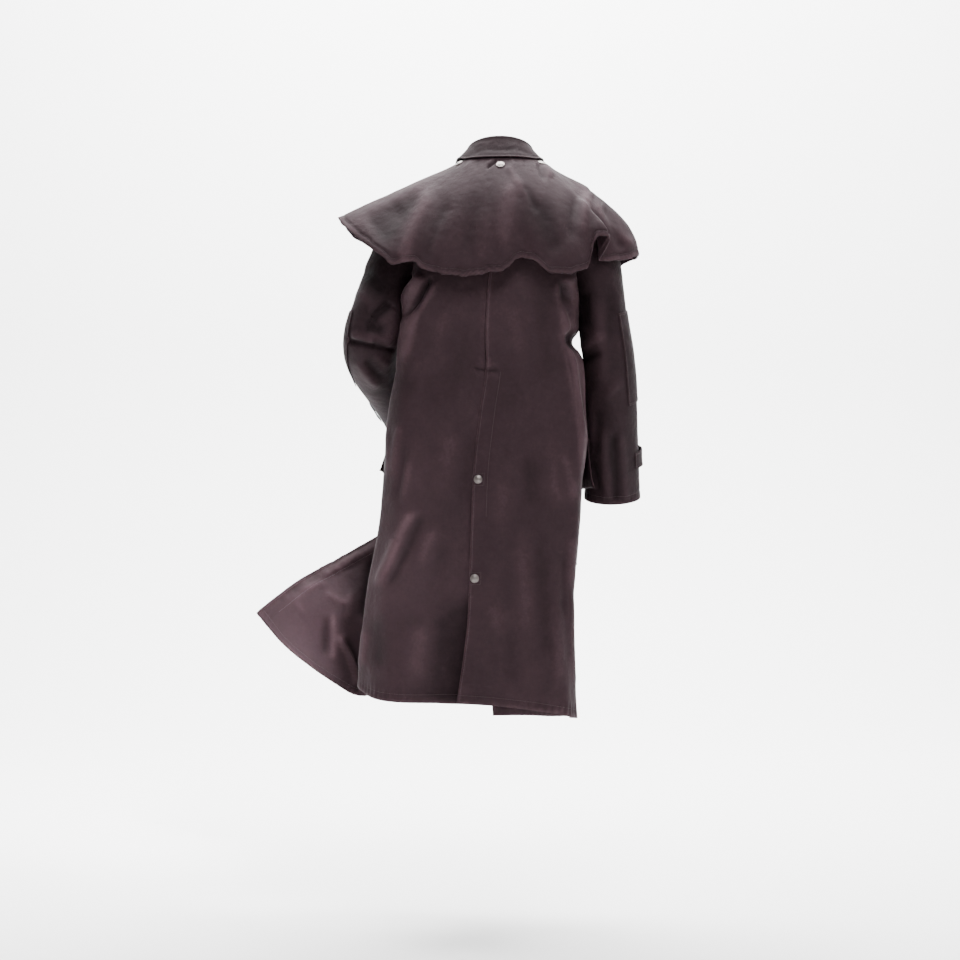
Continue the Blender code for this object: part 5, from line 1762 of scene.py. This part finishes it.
def dress_fronts(kind):
    """Both fronts, with their hem, side seam, front edge and facing stitching."""
    made = {}
    for name, surface, side, seed, (across, down) in (
        ("front_right", front_right, -1, 17, FINE_FRONT_RIGHT),
        ("front_left", front_left, 1, 23, FINE_FRONT_LEFT),
    ):
        cloth = Cloth(surface, grid_steps(0.0, 1.0, across), dense_rows(down), front_relief(seed, side))
        worn = edge_wear(cloth, start=True, end=True, hem=True)
        seams = [
            across_line(cloth, 1, HEM_SEAM),
            down_line(cloth, 0, EDGE_SEAM, *SEAM_RUN),
            down_line(cloth, 1, EDGE_SEAM, *FRONT_EDGE_RUN),
        ]
        if side > 0:
            seams.append(down_line(cloth, 1, FACING_SEAM, *FACING_RUN))
        dress(name, cloth, kind, worn, seams, HEM_DOUBLED)
        made[name] = cloth
    return made


def dress_sleeves(kind, patch_kind):
    """Both sleeves with their elbow patches, cuff tabs and stitching."""
    around, cap_steps, tube_steps = FINE_SLEEVE
    us = np.arange(around) / around
    cap_rows = np.linspace(-1.0, 0.0, cap_steps, endpoint=False)
    vs = np.concatenate([cap_rows, np.linspace(0.0, 1.0, tube_steps)])
    along = np.linspace(0.0, 1.0, SLEEVE_STEPS + 1)
    seam_rows = np.linspace(*SLEEVE_SEAM_RUN, SEAM_STEPS)
    for side, name, seam, elbow, tab in (
        (1, "left", SLEEVE_SEAM_LEFT, ELBOW_PATCH_LEFT, CUFF_TAB_LEFT),
        (-1, "right", SLEEVE_SEAM_RIGHT, ELBOW_PATCH_RIGHT, CUFF_TAB_RIGHT),
    ):
        def tube(u, v, side=side):
            """The sleeve's surface, round which u runs the same way on both sides of the coat."""
            return sleeve(side, -side * u, v)

        cloth = Cloth(tube, us, vs, sleeve_relief(side), closed=True)
        # Wear of the cuff's edge, less painted shade that darkens the whole sleeve.
        worn = edge_wear(cloth, hem=True) - SLEEVE_PAINTED_SHADE
        seams = [across_line(cloth, 1, HEM_SEAM)]
        seams += [(np.full(SEAM_STEPS, u), seam_rows) for u in (seam, seam + SLEEVE_SEAM_PAIR)]
        dress(f"sleeve_{name}", cloth, kind, worn, seams, HEM_DOUBLED)
        for part, box, (fine_across, fine_down), bow in (
            ("elbow_patch", elbow, FINE_PATCH, 0.0),
            ("cuff_tab", tab, FINE_TAB, TAB_BOW),
        ):
            start, end, front_step, rear_step = box
            ends = np.sort(-side * np.array([front_step, rear_step]) / SLEEVE_SIDES)

            def surface(u, v, parent=cloth, ends=ends, bow=bow):
                """A piece laid on the sleeve, bowed out between its two ends."""
                lift = PATCH_LIFT + bow * np.sin(np.pi * share_of(u, ends[0], ends[1])) ** 2
                return parent.raised(u, v, lift)

            sewn = Cloth(
                surface,
                grid_steps(ends[0], ends[1], fine_across),
                grid_steps(along[start], along[end], fine_down),
                patch_relief(40 + side),
                centre=tuple(np.mean(cloth.points[:, -tube_steps:], axis=(0, 1))),
            )
            worn = edge_wear(sewn, start=True, end=True, top=True, hem=True, reach=SMALL_WEAR_REACH)
            # Painted shade, as on the sleeve below.
            worn = worn - SLEEVE_PAINTED_SHADE
            dress(f"{part}_{name}", sewn, patch_kind, worn, round_seams(sewn))


def dress_cape(kind):
    """The cape with its hem and edge stitching."""
    across, down = FINE_CAPE
    stations = column(CAPE, CAPE_COLUMNS, "angle")
    angles = grid_steps(stations[0], stations[-1], across)
    cloth = Cloth(wavering_cape, angles, grid_steps(0.0, 1.0, down), cape_relief)
    worn = edge_wear(cloth, start=True, end=True, hem=True, reach=CAPE_WEAR_REACH)
    seams = [
        across_line(cloth, 1, CAPE_HEM_SEAM, CAPE_HEM_STEPS),
        down_line(cloth, 0, CAPE_EDGE_SEAM),
        down_line(cloth, 1, CAPE_EDGE_SEAM),
    ]
    dress("cape", cloth, kind, worn, seams, CAPE_HEM_DOUBLED)
    return cloth


def dress_collar(kind):
    """The collar with the stitching round its leaf."""
    across, down = FINE_COLLAR
    stations = column(COLLAR, COLLAR_COLUMNS, "angle")

    def turned(angle, c):
        """The collar from the leaf's edge over the fold and down the stand."""
        return collar(angle, 1.0 - c)

    def relief(cloth, base, normals):
        """Strokes, unevenness and seams on the leaf, and none on the stand."""
        leaf = ease((1.0 - cloth.v - COLLAR_LEAF_FROM) / COLLAR_FOLD_FADE)
        height = stroked(base, normals, COLLAR_STROKES, COLLAR_STROKES)
        height = height + COLLAR_WAVES[0] * drift(base, COLLAR_WAVES[1], 5)
        for distance in (cloth.from_start(), cloth.from_end(), cloth.from_top()):
            height = height + seam_edge(distance)
        return height * leaf

    angles = grid_steps(stations[0], stations[-1], across)
    cloth = Cloth(turned, angles, grid_steps(0.0, 1.0, down), relief, centre=(0.0, NECK_CENTRE_Y, None))
    # Wear of the collar's edges, less painted shade that darkens the whole collar.
    worn = edge_wear(cloth, start=True, end=True, top=True, reach=SMALL_WEAR_REACH) - COLLAR_PAINTED_SHADE
    seams = [across_line(cloth, 0, COLLAR_SEAM)]
    seams += [down_line(cloth, side, COLLAR_SEAM, *COLLAR_END_RUN) for side in (0, 1)]
    dress("collar", cloth, kind, worn, seams)


def dress_pockets(fronts, patch_kind):
    """Patch pockets and their flaps, raised from the fronts."""
    rows = body_rows()
    across = front_columns()
    for side, name, flap_box, flare in (
        (1, "left", POCKET_FLAP_LEFT, FLAP_FLARE_LEFT),
        (-1, "right", POCKET_FLAP_RIGHT, FLAP_FLARE_RIGHT),
    ):
        parent = fronts[f"front_{name}"]

        def bag(a, b):
            """How far the pocket stands off, at shares of its width and of its height."""
            inner = np.sin(np.pi * a) * np.sin(np.pi * (POCKET_MOUTH + (1 - POCKET_MOUTH) * b))
            return PATCH_LIFT + POCKET_BAG * inner

        def lid(a, b, flare=flare):
            """How far the flap stands off: over the pocket, and out at its corner by the side seam."""
            over_pocket = POCKET_BAG * np.sin(np.pi * a) * b
            lift = PATCH_LIFT + FLAP_LIFT * b + over_pocket
            return lift + flare * (1 - a) ** FLAP_FLARE_FADE * b**FLAP_FLARE_GROWTH

        for part, box, form, (fine_across, fine_down) in (
            ("pocket", POCKET, bag, FINE_POCKET),
            ("pocket_flap", flap_box, lid, FINE_FLAP),
        ):
            first, last, top, bottom = box
            ends = (across[first], across[last], rows[top], rows[bottom])

            def surface(u, v, form=form, ends=ends, parent=parent):
                """A piece that stands off the front by its form."""
                return parent.raised(u, v, form(share_of(u, ends[0], ends[1]), share_of(v, ends[2], ends[3])))

            columns = grid_steps(ends[0], ends[1], fine_across)
            cloth = Cloth(surface, columns, grid_steps(ends[2], ends[3], fine_down), patch_relief(50 + side))
            worn = edge_wear(cloth, start=True, end=True, top=True, hem=True, reach=POCKET_WEAR_REACH)
            seams = round_seams(cloth, EDGE_SEAM * 2.0)
            dress(f"{part}_{name}", cloth, patch_kind, worn, seams)


def dress_snaps(backs, fronts, cape_cloth, metal):
    """Snap caps on the vent, the front and the cape."""
    right = backs["back_right"]
    for number, z in enumerate(VENT_SNAP_HEIGHTS, start=1):
        u, v = vent_snap_place(right, z)
        snap_cap(f"vent_snap_{number}", right, u, v, "snap_metal", metal)
    left = fronts["front_left"]
    rows = body_rows()
    u = (FRONT_SNAP_ANGLE - 90.0) / (90.0 + FRONT_OVERLAP)
    for number, row in enumerate(FRONT_SNAP_ROWS, start=1):
        snap_cap(f"front_snap_{number}", left, u, rows[row], "snap_metal", metal)
    for number, (angle, r) in enumerate(CAPE_SNAPS, start=1):
        snap_cap(f"cape_snap_{number}", cape_cloth, angle, r, "snap_metal", metal)


def stage_floor():
    """A pale floor that curves up into a wall behind the coat: a profile of a line, an arc and a line."""
    turn = np.linspace(0.0, 1.0, FLOOR_BEND_STEPS) * np.pi / 2
    wall_y = FLOOR_BEND_Y - FLOOR_BEND
    y = np.concatenate([[FLOOR_FRONT_Y], FLOOR_BEND_Y - FLOOR_BEND * np.sin(turn), [wall_y]])
    bend_z = FLOOR_Z + FLOOR_BEND * (1 - np.cos(turn))
    z = np.concatenate([[FLOOR_Z], bend_z, [FLOOR_Z + WALL_HEIGHT]])
    x = np.array([-FLOOR_HALF_WIDTH, FLOOR_HALF_WIDTH])
    points = stack(x[:, None], y[None, :], z[None, :])
    number = np.arange(points.shape[0] * points.shape[1]).reshape(points.shape[:2])
    faces = np.stack([number[:-1, :-1], number[:-1, 1:], number[1:, 1:], number[1:, :-1]], axis=-1)
    mesh = new_mesh("pale_floor", points.reshape(-1, 3), faces.reshape(-1, 4))
    material, tree, shader = new_material("pale_floor")
    where = node(tree, "ShaderNodeTexCoord", output=3)
    cloudy = node(tree, "ShaderNodeTexNoise", None, {"Vector": where, "Scale": 0.7, "Detail": 2.0})
    colour = blended(tree, cloudy, *FLOOR_GREYS)
    tree.links.new(colour.link, shader.inputs["Base Color"])
    shader.inputs["Roughness"].default_value = 0.9
    mesh.materials.append(material)
    floor = bpy.data.objects.new("pale_floor", mesh)
    bpy.context.scene.collection.objects.link(floor)


def soft_light(name, place_at, look_at, size, power, spread):
    """A square light at a place, turned to another, that opens by an angle."""
    lamp = bpy.data.lights.new(name, "AREA")
    lamp.shape = "SQUARE"
    lamp.size = size
    lamp.energy = power
    lamp.spread = math.radians(spread)
    thing = bpy.data.objects.new(name, lamp)
    bpy.context.scene.collection.objects.link(thing)
    thing.location = place_at
    way = np.array(look_at, dtype=float) - np.array(place_at, dtype=float)
    thing.rotation_euler = (
        math.acos(-way[2] / np.linalg.norm(way)),
        0.0,
        math.atan2(way[1], way[0]) - math.pi / 2,
    )


def light_and_camera():
    """Soft light from above and from both sides, an even pale surround, and the camera behind the coat."""
    world = bpy.data.worlds.new("surround")
    bpy.context.scene.world = world
    world.use_nodes = True
    background = world.node_tree.nodes["Background"]
    background.inputs["Color"].default_value = (1.0, 1.0, 1.0, 1.0)
    background.inputs["Strength"].default_value = SURROUND
    for name, place_at, look_at, size, power, opening in LIGHTS:
        soft_light(name, place_at, look_at, size, power, opening)
    lens = bpy.data.cameras.new("camera")
    lens.lens = LENS
    lens.sensor_width = SENSOR
    camera = bpy.data.objects.new("camera", lens)
    bpy.context.scene.collection.objects.link(camera)
    camera.location = EYE
    camera.rotation_euler = (math.radians(90.0), 0.0, math.radians(180.0))
    bpy.context.scene.camera = camera


def main():
    """Builds the coat piece by piece, then the stage."""
    cotton = waxed_cotton("waxed_cotton", DEEP, MIDDLE, LIGHT, 0.0)
    patch = waxed_cotton("patch_cotton", DEEP, MIDDLE, LIGHT, 3.0)
    thread = thread_finish()
    metal = snap_finish()
    panel_kind = (CLOTH, "waxed_cotton", cotton, thread)
    patch_kind = (PATCH_CLOTH, "patch_cotton", patch, thread)
    dress_collar((COLLAR_CLOTH, "waxed_cotton", cotton, thread))
    backs = dress_backs(panel_kind)
    fronts = dress_fronts(panel_kind)
    dress_sleeves(panel_kind, patch_kind)
    cape_cloth = dress_cape(panel_kind)
    dress_pockets(fronts, patch_kind)
    dress_snaps(backs, fronts, cape_cloth, metal)
    stage_floor()
    light_and_camera()


main()
